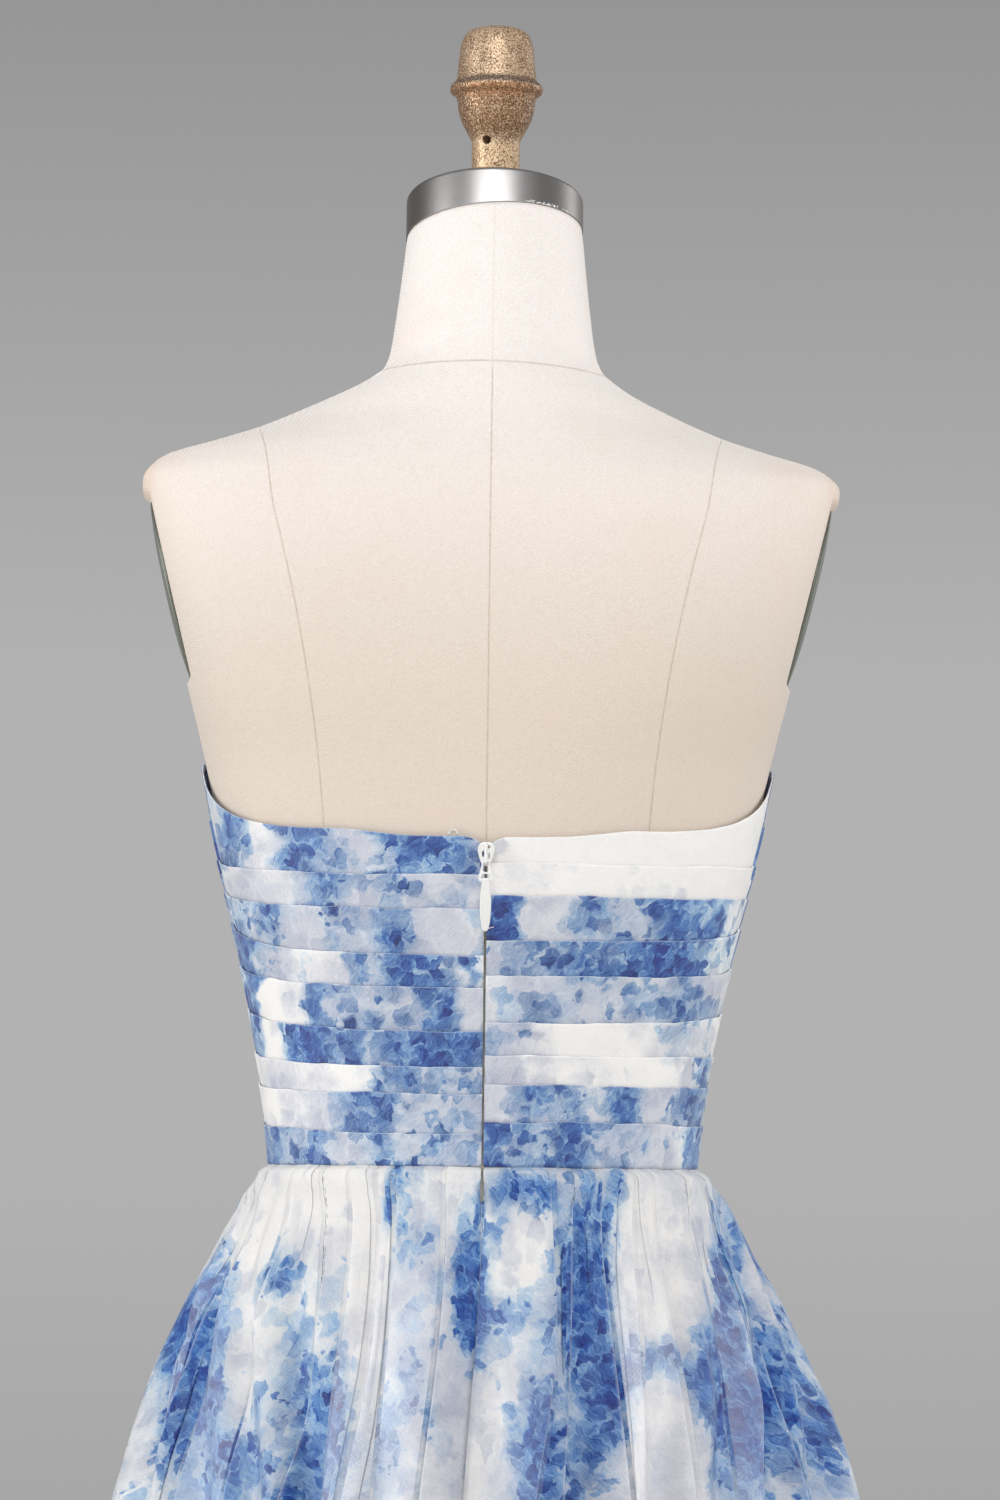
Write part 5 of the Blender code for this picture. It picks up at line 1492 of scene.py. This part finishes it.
def skirt_grid(settings, halves, folds, start_line, end_line, cuts, seed):
    """One panel's grid, from half panels in order across it."""
    drops = skirt_drops()
    lift, angle, edge = (np.concatenate([half[key] for half in halves], axis=1)
                         for key in ("lift", "angle", "edge"))
    strip = np.concatenate([half["strip"] + 20 * n for n, half in enumerate(halves)])
    drop = np.broadcast_to(drops[:, None], angle.shape)
    below = np.maximum(drop, 0.0)
    start = np.array([start_line(d) for d in drops])[:, None]
    end = np.array([end_line(d) for d in drops])[:, None]
    share = np.clip((angle - start) / (end - start), 0.0, 1.0)
    height = np.array([fold_height(folds, d, s) for d, s in zip(below[:, 0], share)])
    depth = read_table(SKIRT_SECTIONS, SKIRT_COLUMNS, "fold_depth", below)

    around = angle / 360 * WAIST_ROUND
    turns = 2 * np.pi * around / settings.gather_pitch
    fine = np.sin(turns + 2.0 * drift(around / 0.030, drop / 0.40, seed + 20))
    broad = np.sin(turns / 2.7 + 4.0 * drift(around / 0.05, drop / 0.4, seed + 21))
    uneven = 0.55 + 0.45 * drift(around / 0.028, drop / 0.05, seed + 22)
    fading = np.exp(-(below / settings.gather_reach) ** 1.5) * ease((drop + 0.003) / 0.010)
    gathers = settings.gather_depth * uneven * fine * fading
    gathers += 0.0005 * broad * ease(below / 0.06) * np.exp(-(below / 0.22) ** 2)
    gathers += 0.0016 * drift(angle / 4.0, drop / 0.30, seed + 23) * ease(below / 0.10)
    tucked = 0.0036 * (1 - ease((drop + 0.0010) / 0.0030))
    sides = np.minimum(share, 1 - share)
    seam_in = 0.0025 * np.exp(-(sides * 90 / 0.55) ** 2) * ease(below / 0.02)
    inset = depth * (1 - height) + tucked + seam_in + 0.0010 * ease(below / 0.03) - lift - gathers
    points = skirt_points(angle, below, inset)
    points[..., 2] = WAIST - drop

    waist_cut, hem_cut = cuts
    steps = np.cumsum(np.linalg.norm(np.diff(points, axis=1), axis=2), axis=1)
    part = np.pad(steps / steps[:, -1:], ((0, 0), (1, 0))) - 0.5
    hip_row = int(np.argmin(np.abs(drops - 0.11)))
    part = mix(part[hip_row], part, ease((below - 0.12) / 0.20))
    width = mix(waist_cut, hem_cut, below / HEM_DROP)
    u = part * width + seed * 0.9
    v = drop + seed * 0.37
    middle = 270 if seed == 3 else 90
    arc = (angle - middle) / 360 * (0.74 + 1.7 * below) + 0.2
    bloom, haze = cloth_bloom(points, arc, drop, strip[None, :], seed)

    turned, u, v = turn_hem(points, u, v, settings)
    pad = turned.shape[0] - points.shape[0]
    bloom = np.concatenate([np.repeat(bloom[:1], pad, axis=0), bloom])
    haze = np.concatenate([np.repeat(haze[:1], pad, axis=0), haze])
    edge = np.concatenate([np.zeros((pad, edge.shape[1])), edge])
    marks = {"bloom": bloom, "haze": haze, "edge": edge}
    return {"points": turned, "uv": np.stack([u, v], axis=-1), "marks": marks}


def turn_hem(points, u, v, settings):
    """Rows added below the first one, where the cloth rolls inwards and runs back up."""
    first = points[0]
    out = first * (1.0, 1.0, 0.0) - (0.0, SKIRT_CENTRE_Y, 0.0)
    out = out / np.linalg.norm(out, axis=1, keepdims=True)
    rows, lengths = [], []
    turn = settings.hem_turn
    section = (
        (0.0011, turn, turn + 0.001), (0.0011, 0.0010, 0.0018), (0.0009, 0.0002, 0.0010),
        (0.0004, -0.0002, 0.0005),
    )
    for inward, up, length in section:
        rows.append(first - out * inward + (0.0, 0.0, up))
        lengths.append(length)
    pad = np.array(lengths)[:, None]
    return (
        np.concatenate([np.array(rows), points]),
        np.concatenate([np.repeat(u[:1], len(rows), axis=0), u]),
        np.concatenate([v[:1] + pad, v]),
    )


def right_side(drop):
    return 180 - side_seam(drop)


def left_side_again(drop):
    return 360 + side_seam(drop)


def centre_front(_drop):
    return 270.0


def inner_edge(line, sign):
    """A line moved sideways by half a seam's gap."""
    def moved(drop):
        return line(drop) + sign * math.degrees(SEAM_GAP / SKIRT_RADIUS)
    return moved


def zip_edge(sign):
    """The centre back seam's edge, which stands clear of the zip's tape and closes below it."""
    def moved(drop):
        return inner_edge(back_seam, sign * mix(2.4, 0.3, ease((drop - 0.0150) / 0.004)))(drop)
    return moved


def mirrored(half):
    """A half panel with its columns in the other order."""
    return {key: value[..., ::-1] for key, value in half.items()}


def make_skirt(settings, print_settings):
    finish = printed_cloth("printed_skirt_chiffon", print_settings, settings)
    drops = skirt_drops()
    zip_left, zip_right = zip_edge(-1.0), zip_edge(1.0)
    side_left, side_right = inner_edge(side_seam, 1.0), inner_edge(right_side, -1.0)
    front_right, front_left = inner_edge(right_side, 1.0), inner_edge(left_side_again, -1.0)
    pitch = 0.0011
    left = mirrored(half_panel(LEFT_KNIVES, drops, zip_left, side_left, pitch))
    right = half_panel(RIGHT_KNIVES, drops, zip_right, side_right, pitch)
    front_a = mirrored(half_panel(FRONT_RIGHT_KNIVES, drops, centre_front, front_right, pitch * 1.4))
    front_b = half_panel(FRONT_LEFT_KNIVES, drops, centre_front, front_left, pitch * 1.4)
    front_b = {key: value[..., 1:] for key, value in front_b.items()}
    back_cut = (settings.waist_cut, settings.hem_cut)
    front_cut = (settings.front_waist_cut, settings.front_hem_cut)
    panels = (
        ("back_left", [left], LEFT_FOLDS, side_left, zip_left, back_cut, 1),
        ("back_right", [right], RIGHT_FOLDS, zip_right, side_right, back_cut, 2),
        ("front", [front_a, front_b], FRONT_FOLDS, front_right, front_left, front_cut, 3),
    )
    for name, halves, folds, start, end, cuts, seed in panels:
        grid = skirt_grid(settings, halves, folds, start, end, cuts, seed)
        mesh = grid_mesh("skirt_" + name + "_chiffon", [grid])
        piece = make_piece(mesh.name, mesh, finish, replaces=["skirt_" + name])
        length = HEM_DROP + HEM_ALLOWANCE
        (cuts[0] + cuts[1]) / 2 * length


def make_lining(settings):
    finish = lining_cloth(settings)
    drops = np.concatenate([np.linspace(LINING_DROP, 0.012, 70), [0.006, 0.001, -0.0022]])
    angles = np.arange(360)
    drop = np.broadcast_to(drops[:, None], (len(drops), len(angles)))
    below = np.maximum(drop, 0.0)
    depth = read_table(SKIRT_SECTIONS, SKIRT_COLUMNS, "fold_depth", below)
    soft = drift(angles[None, :] / 11.0, below / 0.30, 41) * 0.5 + 0.5
    soft[:, -11:] = mix(soft[:, -11:], soft[:, :1], np.linspace(0, 1, 11)[None, :])
    inset = depth + LINING_INSET + LINING_SPREAD * below + soft * 0.010 * ease(below / 0.15)
    inset = inset + 0.0006 * (1 - ease(below / 0.004))
    points = skirt_points(angles[None, :], below, inset)
    points[..., 2] = WAIST - drop
    part = angles[None, :] / 360
    width = mix(*LINING_CUTS, below / LINING_DROP)
    u = part * width
    turned, u, v = turn_hem(points, u, drop, settings)
    grid = {"points": turned, "uv": np.stack([u, v], axis=-1)}
    mesh = grid_mesh("skirt_lining_satin", [grid], closed_round=True)
    piece = make_piece("skirt_lining_satin", mesh, finish, replaces=["skirt_lining"])


# ---------------------------------------------------------------- zip and stitches

def repeated_along(name, path, build_item, settings_values, finish):
    """Copies of a small shape along a path, made by a geometry tree and turned into a mesh."""
    curve_mesh = bpy.data.meshes.new(name + "_path")
    curve_mesh.from_pydata([tuple(p) for p in path], [(i, i + 1) for i in range(len(path) - 1)], [])
    holder = placed(name + "_path", curve_mesh)

    tree = bpy.data.node_groups.new(name, "GeometryNodeTree")
    tree.interface.new_socket("Geometry", in_out="INPUT", socket_type="NodeSocketGeometry")
    sockets = {label: tree.interface.new_socket(label, in_out="INPUT", socket_type="NodeSocketFloat")
               for label in settings_values}
    tree.interface.new_socket("Geometry", in_out="OUTPUT", socket_type="NodeSocketGeometry")
    start = tree.nodes.new("NodeGroupInput")
    end = tree.nodes.new("NodeGroupOutput")

    def add(kind, settings=None, links=None):
        made = tree.nodes.new(kind)
        for key, value in (settings or {}).items():
            setattr(made, key, value)
        for key, value in (links or {}).items():
            if isinstance(value, bpy.types.NodeSocket):
                tree.links.new(value, made.inputs[key])
            else:
                made.inputs[key].default_value = value
        return made

    curve = add("GeometryNodeMeshToCurve", {}, {"Mesh": start.outputs["Geometry"]})
    spread = add("GeometryNodeResampleCurve", {"mode": "LENGTH"},
                 {"Curve": curve.outputs["Curve"], "Length": start.outputs["Pitch"]})
    points = add("GeometryNodeCurveToPoints", {"mode": "EVALUATED"}, {"Curve": spread.outputs["Curve"]})
    item = build_item(add, start)
    sway = add(
        "FunctionNodeRandomValue", {"data_type": "FLOAT"}, {"Min": -SWAY, "Max": SWAY, "Seed": 7})
    turn = add("FunctionNodeRotateRotation", {"rotation_space": "LOCAL"},
               {"Rotation": points.outputs["Rotation"]})
    angle = add("ShaderNodeCombineXYZ", {}, {"Y": sway.outputs[1]})
    as_turn = add("FunctionNodeEulerToRotation", {}, {"Euler": angle.outputs["Vector"]})
    tree.links.new(as_turn.outputs["Rotation"], turn.inputs["Rotate By"])
    copies = add("GeometryNodeInstanceOnPoints", {}, {
        "Points": points.outputs["Points"], "Instance": item, "Rotation": turn.outputs["Rotation"]})
    real = add("GeometryNodeRealizeInstances", {}, {"Geometry": copies.outputs["Instances"]})
    coloured = add("GeometryNodeSetMaterial", {},
                   {"Geometry": real.outputs["Geometry"], "Material": finish})
    tree.links.new(coloured.outputs["Geometry"], end.inputs["Geometry"])

    modifier = holder.modifiers.new(name, "NODES")
    modifier.node_group = tree
    for label, value in settings_values.items():
        modifier[sockets[label].identifier] = value
    mesh = evaluated_mesh(holder)
    mesh.name = name
    bpy.data.objects.remove(holder, do_unlink=True)
    mesh.shade_smooth()
    return mesh


def bead(segments, rings, scale):
    """A builder of one bead, stretched by scale, for copies along a path."""
    def build(add, start):
        ball = add("GeometryNodeMeshUVSphere", {}, {
            "Segments": segments, "Rings": rings, "Radius": start.outputs["Thickness"]})
        shaped = add("GeometryNodeTransform", {}, {"Geometry": ball.outputs["Mesh"], "Scale": scale})
        return shaped.outputs["Geometry"]
    return build


def zip_seat(level):
    """How far back the zip's face lies at a height."""
    above = bodice_points(90.0, np.maximum(level - WAIST, 0.0), 0.0004)[..., 1]
    below = skirt_points(90.0, np.maximum(WAIST - level, 0.0), 0.0026)[..., 1]
    return np.where(level >= WAIST, above, below)


def make_zip(settings):
    tape_finish = plain_metal("zip_tape_cloth", colour_of(settings, "tape"), 0.0, 0.70, 0.0006)
    levels = np.linspace(WAIST - ZIP_END, WAIST + ZIP_TOP, 90)
    seat = zip_seat(levels)
    across = np.array([0.0012, 0.0009, 0.0003, -0.0003, -0.0009, -0.0012])
    ridge = np.array([0.0, 0.0002, 0.0004, 0.0004, 0.0002, 0.0])
    narrow = mix(0.15, 1.0, ease((levels[:, None] - levels[0]) / 0.007))
    columns = (across * narrow * 0.75, seat[:, None] + ridge, levels[:, None])
    tape = grid_mesh("zip_tape_strip", [{"points": np.stack(np.broadcast_arrays(*columns), axis=-1)}])
    path = [(0.0, float(y) + 0.0006, float(z)) for y, z in zip(seat[::3], levels[::3])]
    turn = bead(8, 5, (2.6, 1.0, 0.8))
    sizes = {"Pitch": settings.tooth_pitch, "Thickness": settings.tooth}
    coil = repeated_along("zip_coil", path, turn, sizes, tape_finish)
    mesh = joined("zip_tape_and_coil", [tape, coil])
    make_piece("zip_tape_and_coil", mesh, tape_finish, replaces=["zip_chain"])


def stand_up(mesh, place):
    """Stand a flat outline up at a place, so that its drawn x and y become x and z."""
    mesh.transform(Matrix.Translation(place) @ Matrix.Rotation(math.radians(90), 4, "X"))
    return mesh


def arc(centre, radius, start, end, steps):
    """Points round an arc in a plane, in degrees."""
    turns = (math.radians(mix(start, end, k / steps)) for k in range(steps + 1))
    return [(centre[0] + radius * math.cos(t), centre[1] + radius * math.sin(t)) for t in turns]


def both_sides(half):
    """A closed flat outline from its half at +x, which runs down and is then mirrored."""
    return [(x, z, 0) for x, z in half] + [(-x, z, 0) for x, z in reversed(half)]


def ring_of(centre, radius, steps=20):
    """A closed flat oval."""
    turns = (2 * math.pi * k / steps for k in range(steps))
    width, height = radius
    return [(centre[0] + width * math.cos(t), centre[1] + height * math.sin(t), 0) for t in turns]


def make_slider(settings):
    enamel = plain_metal("zip_enamel_paint", colour_of(settings, "enamel"), 0.15, 0.24, 0.0008)
    face = PULL_AXIS[1] - PULL_REACH
    half, top = SLIDER_WIDTH / 2, SLIDER_BASE + SLIDER_HEIGHT
    shield = softened([
        (0.0006, SLIDER_BASE), (0.0016, SLIDER_BASE + 0.0001), (0.0026, SLIDER_BASE + 0.0016),
        (half * 0.86, top - 0.0066), (half * 0.97, top - 0.0042), (half * 0.84, top - 0.0014),
        (half * 0.46, top), (half * 0.10, top),
    ], 2)
    holes = [
        ring_of((0.0016, top - 0.0062), (0.00055, 0.0017)),
        ring_of((-0.0015, top - 0.0026), (0.0006, 0.0008)),
        ring_of((-0.0016, top - 0.0072), (0.00045, 0.0014)),
    ]
    body = wire_shape("slider_plate", both_sides(shield), 0, True, SLIDER_DEPTH, 0.0004, 3, holes)
    stand_up(body, (0, face - SLIDER_DEPTH / 2, 0))
    low, high = SLIDER_BASE + 0.0011, top - 0.0012
    inside, out, bend = face - 0.0010, face + BRIDGE_STAND, 0.0011
    loop = [(inside, high)] + arc((out - bend, high - bend), bend, 90, 0, 8)
    loop += arc((out - bend, low + bend), bend, 0, -90, 8) + [(inside, low)]
    bridge = wire_shape("slider_loop", [(0, y, z) for y, z in loop], BRIDGE_WIRE)
    mesh = joined("zip_slider_body", [body, bridge])
    make_piece("zip_slider_body", mesh, enamel, replaces=["zip_slider"])

    pull = pull_mesh()
    make_piece("zip_pull_tab", pull, enamel, body=PULL_BODY, replaces=["zip_pull"])


def pull_mesh():
    """The crown that hangs in the slider's loop, a plate with two holes, and the leaf-shaped tab with
    its raised border."""
    crown = softened([
        (0.0010, 0.0006), (0.0019, 0.0004), (0.0024, -0.0024), (0.0036, -0.0072),
        (0.0040, -0.0098), (0.0034, -0.0108), (0.0018, -0.0106),
    ], 2)
    upper = softened([
        (0.0004, -0.0006), (0.0011, -0.0008), (0.0014, -0.0030), (0.0017, -0.0052), (0.0006, -0.0057),
    ], 1)
    lower = softened([
        (0.0004, -0.0067), (0.0018, -0.0068), (0.0026, -0.0086), (0.0021, -0.0091), (0.0004, -0.0090),
    ], 1)
    leaf = both_sides(softened([
        (0.0016, -0.0088), (0.0019, -0.0094), (0.0025, -0.0150), (0.0030, -0.0215), (0.0028, -0.0280),
        (0.0021, -0.0335), (0.0014, -TAB_LENGTH + 0.0006), (0.0005, -TAB_LENGTH),
    ], 2))
    slots = [both_sides(upper), both_sides(lower)]
    plate = wire_shape("pull_crown", both_sides(crown), 0, True, TAB_THICKNESS, 0.0002, 2, slots)
    tab = wire_shape("pull_leaf", leaf, 0, True, TAB_THICKNESS * 1.15, 0.0003, 3)
    leaf_middle = -0.0230
    rims = []
    for side in (0.50, -0.50):
        border = [(x * 0.84, TAB_THICKNESS * side, leaf_middle + (z - leaf_middle) * 0.93)
                  for x, z, _ in leaf]
        rims.append(wire_shape("pull_rim", border, THREAD_RADIUS, cyclic=True, resolution=2))
    flats = [stand_up(mesh, (0, 0, 0)) for mesh in (plate, tab)]
    mesh = joined("zip_pull_tab", flats + rims)
    mesh.transform(Matrix.Translation(PULL_AXIS))
    return mesh


def make_thread_eye(settings):
    """The loop of two strands on the top edge, left of the zip."""
    finish = plain_metal("loop_thread", colour_of(settings, "enamel"), 0.0, 0.75, 0.0003)
    low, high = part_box("thread_eye")
    centre = ((low.x + high.x) / 2, (low.y + high.y) / 2)
    reach, rise = (high.x - low.x) / 2 - 0.0003, high.z - low.z - 0.0003
    strands = []
    for turn, lean in ((0.0, 0.0002), (0.8, -0.0002)):
        route = []
        for k in range(25):
            t = math.pi * k / 24
            twist = THREAD_RADIUS * math.sin(9 * t + turn * math.pi)
            x, z = centre[0] + reach * math.cos(t) + lean, low.z + (rise + twist) * math.sin(t)
            route.append((x, centre[1] + twist, z))
        strands.append(wire_shape("strand", route, THREAD_RADIUS, resolution=2))
    mesh = joined("thread_loop", strands)
    make_piece("thread_loop", mesh, finish, replaces=["thread_eye"])


def make_loose_fibres():
    """The frayed threads where the cover meets the neck cap, and a thread's end beside the zip."""
    finish = plain_metal("frayed_thread", paint(244, 240, 234), 0.0, 0.80, 0.0003)
    chance = np.random.default_rng(17)
    reach = CAP_RADIUS + 0.00035
    strands = []
    for k in range(34):
        turn = math.radians(chance.uniform(112, 143) if k < 26 else chance.uniform(95, 150))
        height = float(chance.uniform(0.0003, 0.0014))
        bend = float(chance.uniform(-0.0026, 0.0026))
        route = []
        for step in range(7):
            share = step / 6
            around = turn + (bend * share + 0.0002 * math.sin(5 * share + k)) / CAP_RADIUS
            x, y = reach * math.cos(around), reach * math.sin(around)
            route.append((x, y, height * math.sin(2.4 * share) + 0.0006 - neck_slant(x)))
        strands.append(wire_shape("fibre", route, 0.00016, resolution=1))
    for mesh in strands:
        mesh.transform(neck_frame())
    seat = float(bodice_points(91.5, 0.1245, 0.0034)[1])
    stub = [(-0.0010 - 0.0034 * s, seat + 0.0003 * math.sin(3 * s), WAIST + 0.1242 + 0.0010 * s)
            for s in (0, 0.35, 0.7, 1)]
    strands.append(wire_shape("stub", stub, THREAD_RADIUS, resolution=2))
    mesh = joined("loose_fibres", strands)
    make_piece("loose_fibres", mesh, finish)


def make_hem_stitches(settings, skirt):
    """A line of small stitches round the hem, where its turned edge is sewn down."""
    finish = plain_metal("hem_thread", paint(222, 226, 236), 0.0, 0.70, 0.0003)
    stitch = bead(6, 4, (1.0, 1.0, 5.5))
    strands = []
    for name in ("back_left", "back_right", "front"):
        mesh = bpy.data.objects["skirt_" + name + "_chiffon"].data
        count = len(mesh.vertices)
        points = np.empty(count * 3, np.float32)
        mesh.vertices.foreach_get("co", points)
        points = points.reshape(-1, 3)
        columns = count // (len(skirt_drops()) + 4)
        rows = points.reshape(-1, columns, 3)
        level = WAIST - HEM_DROP + skirt.hem_turn * 0.85
        row = int(np.argmin(np.abs(rows[4:, 0, 2] - level))) + 4
        line = rows[row].astype(float)
        out = line * (1.0, 1.0, 0.0)
        line = line + out / np.linalg.norm(out, axis=1, keepdims=True) * 0.0002
        sizes = {"Pitch": settings.stitch_pitch, "Thickness": THREAD_RADIUS}
        strands.append(repeated_along("stitches_" + name, line, stitch, sizes, finish))
    mesh = joined("hem_stitches", strands)
    make_piece("hem_stitches", mesh, finish)


# ---------------------------------------------------------------- stage

def add_light(name, place, aim, width, height, power, mirrored=True):
    lamp = bpy.data.lights.new(name, "AREA")
    lamp.shape = "RECTANGLE"
    lamp.size, lamp.size_y = width, height
    lamp.energy = power
    item = placed(name, lamp)
    item.location = place
    item.rotation_euler = (Vector(aim) - Vector(place)).to_track_quat("-Z", "Y").to_euler()
    item.visible_camera = False
    item.visible_glossy = mirrored


def make_world(settings):
    world = bpy.data.worlds.new("studio")
    world.use_nodes = True
    bpy.context.scene.world = world
    tree = world.node_tree
    tree.nodes.clear()
    place = tree.nodes.new("ShaderNodeTexCoord")
    split = tree.nodes.new("ShaderNodeSeparateXYZ")
    tree.links.new(place.outputs["Generated"], split.inputs["Vector"])
    span = tree.nodes.new("ShaderNodeMapRange")
    span.inputs["From Min"].default_value = -0.25
    span.inputs["From Max"].default_value = 0.25
    tree.links.new(split.outputs["Z"], span.inputs["Value"])
    ramp = tree.nodes.new("ShaderNodeValToRGB")
    low, high = colour_of(settings, "backdrop_low"), colour_of(settings, "backdrop_high")
    dim = tuple(value * 0.86 for value in low)
    ramp.color_ramp.elements.new(0.5)
    ramp.color_ramp.elements.new(0.62)
    stops = ((0.38, dim), (0.50, low), (0.66, low), (0.94, high))
    for element, (at, colour) in zip(ramp.color_ramp.elements, stops):
        element.position = at
        element.color = (*colour, 1.0)
    tree.links.new(span.outputs["Result"], ramp.inputs["Fac"])
    sky = tree.nodes.new("ShaderNodeBackground")
    tree.links.new(ramp.outputs["Color"], sky.inputs["Color"])
    end = tree.nodes.new("ShaderNodeOutputWorld")
    tree.links.new(sky.outputs["Background"], end.inputs["Surface"])


def make_stage(settings):
    camera_data = bpy.data.cameras.new("camera")
    camera_data.lens = settings.lens
    camera_data.sensor_width = 36.0
    camera_data.sensor_fit = "AUTO"
    camera_data.clip_end = 100.0
    camera = placed("camera", camera_data)
    place = Vector((settings.side, settings.distance, settings.height))
    target = Vector((settings.side, 0.0, settings.aim))
    look = (target - place).to_track_quat("-Z", "Y").to_matrix().to_4x4()
    camera.matrix_world = Matrix.Translation(place) @ look @ Matrix.Rotation(settings.roll, 4, "Z")
    bpy.context.scene.camera = camera
    bpy.context.scene.view_settings.view_transform = "Standard"

    middle = (0.0, 0.0, 1.25)
    add_light("key", (0.1, 3.0, 3.1), (0.0, 0.0, 1.45), 2.6, 2.0, settings.key)
    add_light("fill_left", (3.0, 1.1, 1.4), middle, 1.6, 2.6, settings.fill * 1.25)
    add_light("fill_right", (-3.0, 1.1, 1.6), middle, 1.6, 2.6, settings.fill * 0.95, mirrored=False)
    add_light("edge_right", (-2.7, -1.8, 2.0), (0.0, 0.0, 1.5), 1.2, 2.2, settings.fill * 0.35)
    add_light("rear", (0.4, -3.2, 2.7), middle, 2.4, 2.0, settings.rear, mirrored=False)
    make_world(settings)

    floor_finish = Finish("studio_floor")
    place_on = floor_finish.place()
    speck = floor_finish.noise(place_on, 0.02, 3.0, 0.5).out("Fac")
    tone = floor_finish.mixed(speck * 0.10, colour_of(settings, "floor"), paint(188, 187, 185))
    material = floor_finish.surface({"Base Color": tone, "Roughness": 0.85})
    shape = bmesh.new()
    bmesh.ops.create_circle(shape, cap_ends=True, segments=128, radius=9.0)
    floor = placed("floor", mesh_of(shape, "floor"))
    floor.data.materials.append(material)


# ---------------------------------------------------------------- operators

class DRESS_OT_form(bpy.types.Operator):
    """Make the form's cover, neck cap, finial, arm plates and stand"""

    bl_idname = "dress.form"
    bl_label = "Dress Form"
    bl_options = {"REGISTER", "UNDO"}

    def execute(self, context):
        settings = context.scene.dress_form
        make_form_torso(settings)
        make_neck_cap(settings)
        make_finial(settings)
        make_arm_plates(settings)
        make_stand(settings)
        return {"FINISHED"}


class DRESS_OT_bodice(bpy.types.Operator):
    """Make the bodice's cross-pleated panels"""

    bl_idname = "dress.bodice"
    bl_label = "Bodice"
    bl_options = {"REGISTER", "UNDO"}

    def execute(self, context):
        make_bodice(context.scene.dress_bodice, context.scene.dress_print)
        return {"FINISHED"}


class DRESS_OT_skirt(bpy.types.Operator):
    """Make the skirt's gathered panels and its lining"""

    bl_idname = "dress.skirt"
    bl_label = "Skirt"
    bl_options = {"REGISTER", "UNDO"}

    def execute(self, context):
        make_skirt(context.scene.dress_skirt, context.scene.dress_print)
        make_lining(context.scene.dress_skirt)
        return {"FINISHED"}


class DRESS_OT_zip(bpy.types.Operator):
    """Make the zip, its slider and pull, the thread loop and the hem's stitches"""

    bl_idname = "dress.zip"
    bl_label = "Zip and Stitches"
    bl_options = {"REGISTER", "UNDO"}

    def execute(self, context):
        settings = context.scene.dress_zip
        make_zip(settings)
        make_slider(settings)
        make_thread_eye(settings)
        make_loose_fibres()
        make_hem_stitches(settings, context.scene.dress_skirt)
        return {"FINISHED"}


class DRESS_OT_stage(bpy.types.Operator):
    """Make the camera, the lights and the floor"""

    bl_idname = "dress.stage"
    bl_label = "Stage"
    bl_options = {"REGISTER", "UNDO"}

    def execute(self, context):
        make_stage(context.scene.dress_stage)
        return {"FINISHED"}


class DRESS_PT_panel(bpy.types.Panel):
    """Lists the pieces and their settings"""

    bl_idname = "DRESS_PT_panel"
    bl_label = "Dress"
    bl_space_type = "VIEW_3D"
    bl_region_type = "UI"
    bl_category = "Dress"

    def draw(self, context):
        for operator in OPERATORS:
            self.layout.operator(operator.bl_idname)
        for group in GROUPS:
            box = self.layout.box()
            settings = getattr(context.scene, group)
            for name in settings.__annotations__:
                box.prop(settings, name)


GROUPS = {
    "dress_form": FormSettings, "dress_print": PrintSettings, "dress_bodice": BodiceSettings,
    "dress_skirt": SkirtSettings, "dress_zip": ZipSettings, "dress_stage": StageSettings,
}
OPERATORS = (DRESS_OT_form, DRESS_OT_bodice, DRESS_OT_skirt, DRESS_OT_zip, DRESS_OT_stage)


def register():
    for item in (*GROUPS.values(), *OPERATORS, DRESS_PT_panel):
        bpy.utils.register_class(item)
    for name, group in GROUPS.items():
        setattr(bpy.types.Scene, name, PointerProperty(type=group))


def unregister():
    for name in GROUPS:
        delattr(bpy.types.Scene, name)
    for item in reversed((*GROUPS.values(), *OPERATORS, DRESS_PT_panel)):
        bpy.utils.unregister_class(item)


def main():
    register()
    bpy.ops.dress.stage()
    bpy.ops.dress.form()
    bpy.ops.dress.bodice()
    bpy.ops.dress.skirt()
    bpy.ops.dress.zip()


if __name__ == "__main__":
    main()
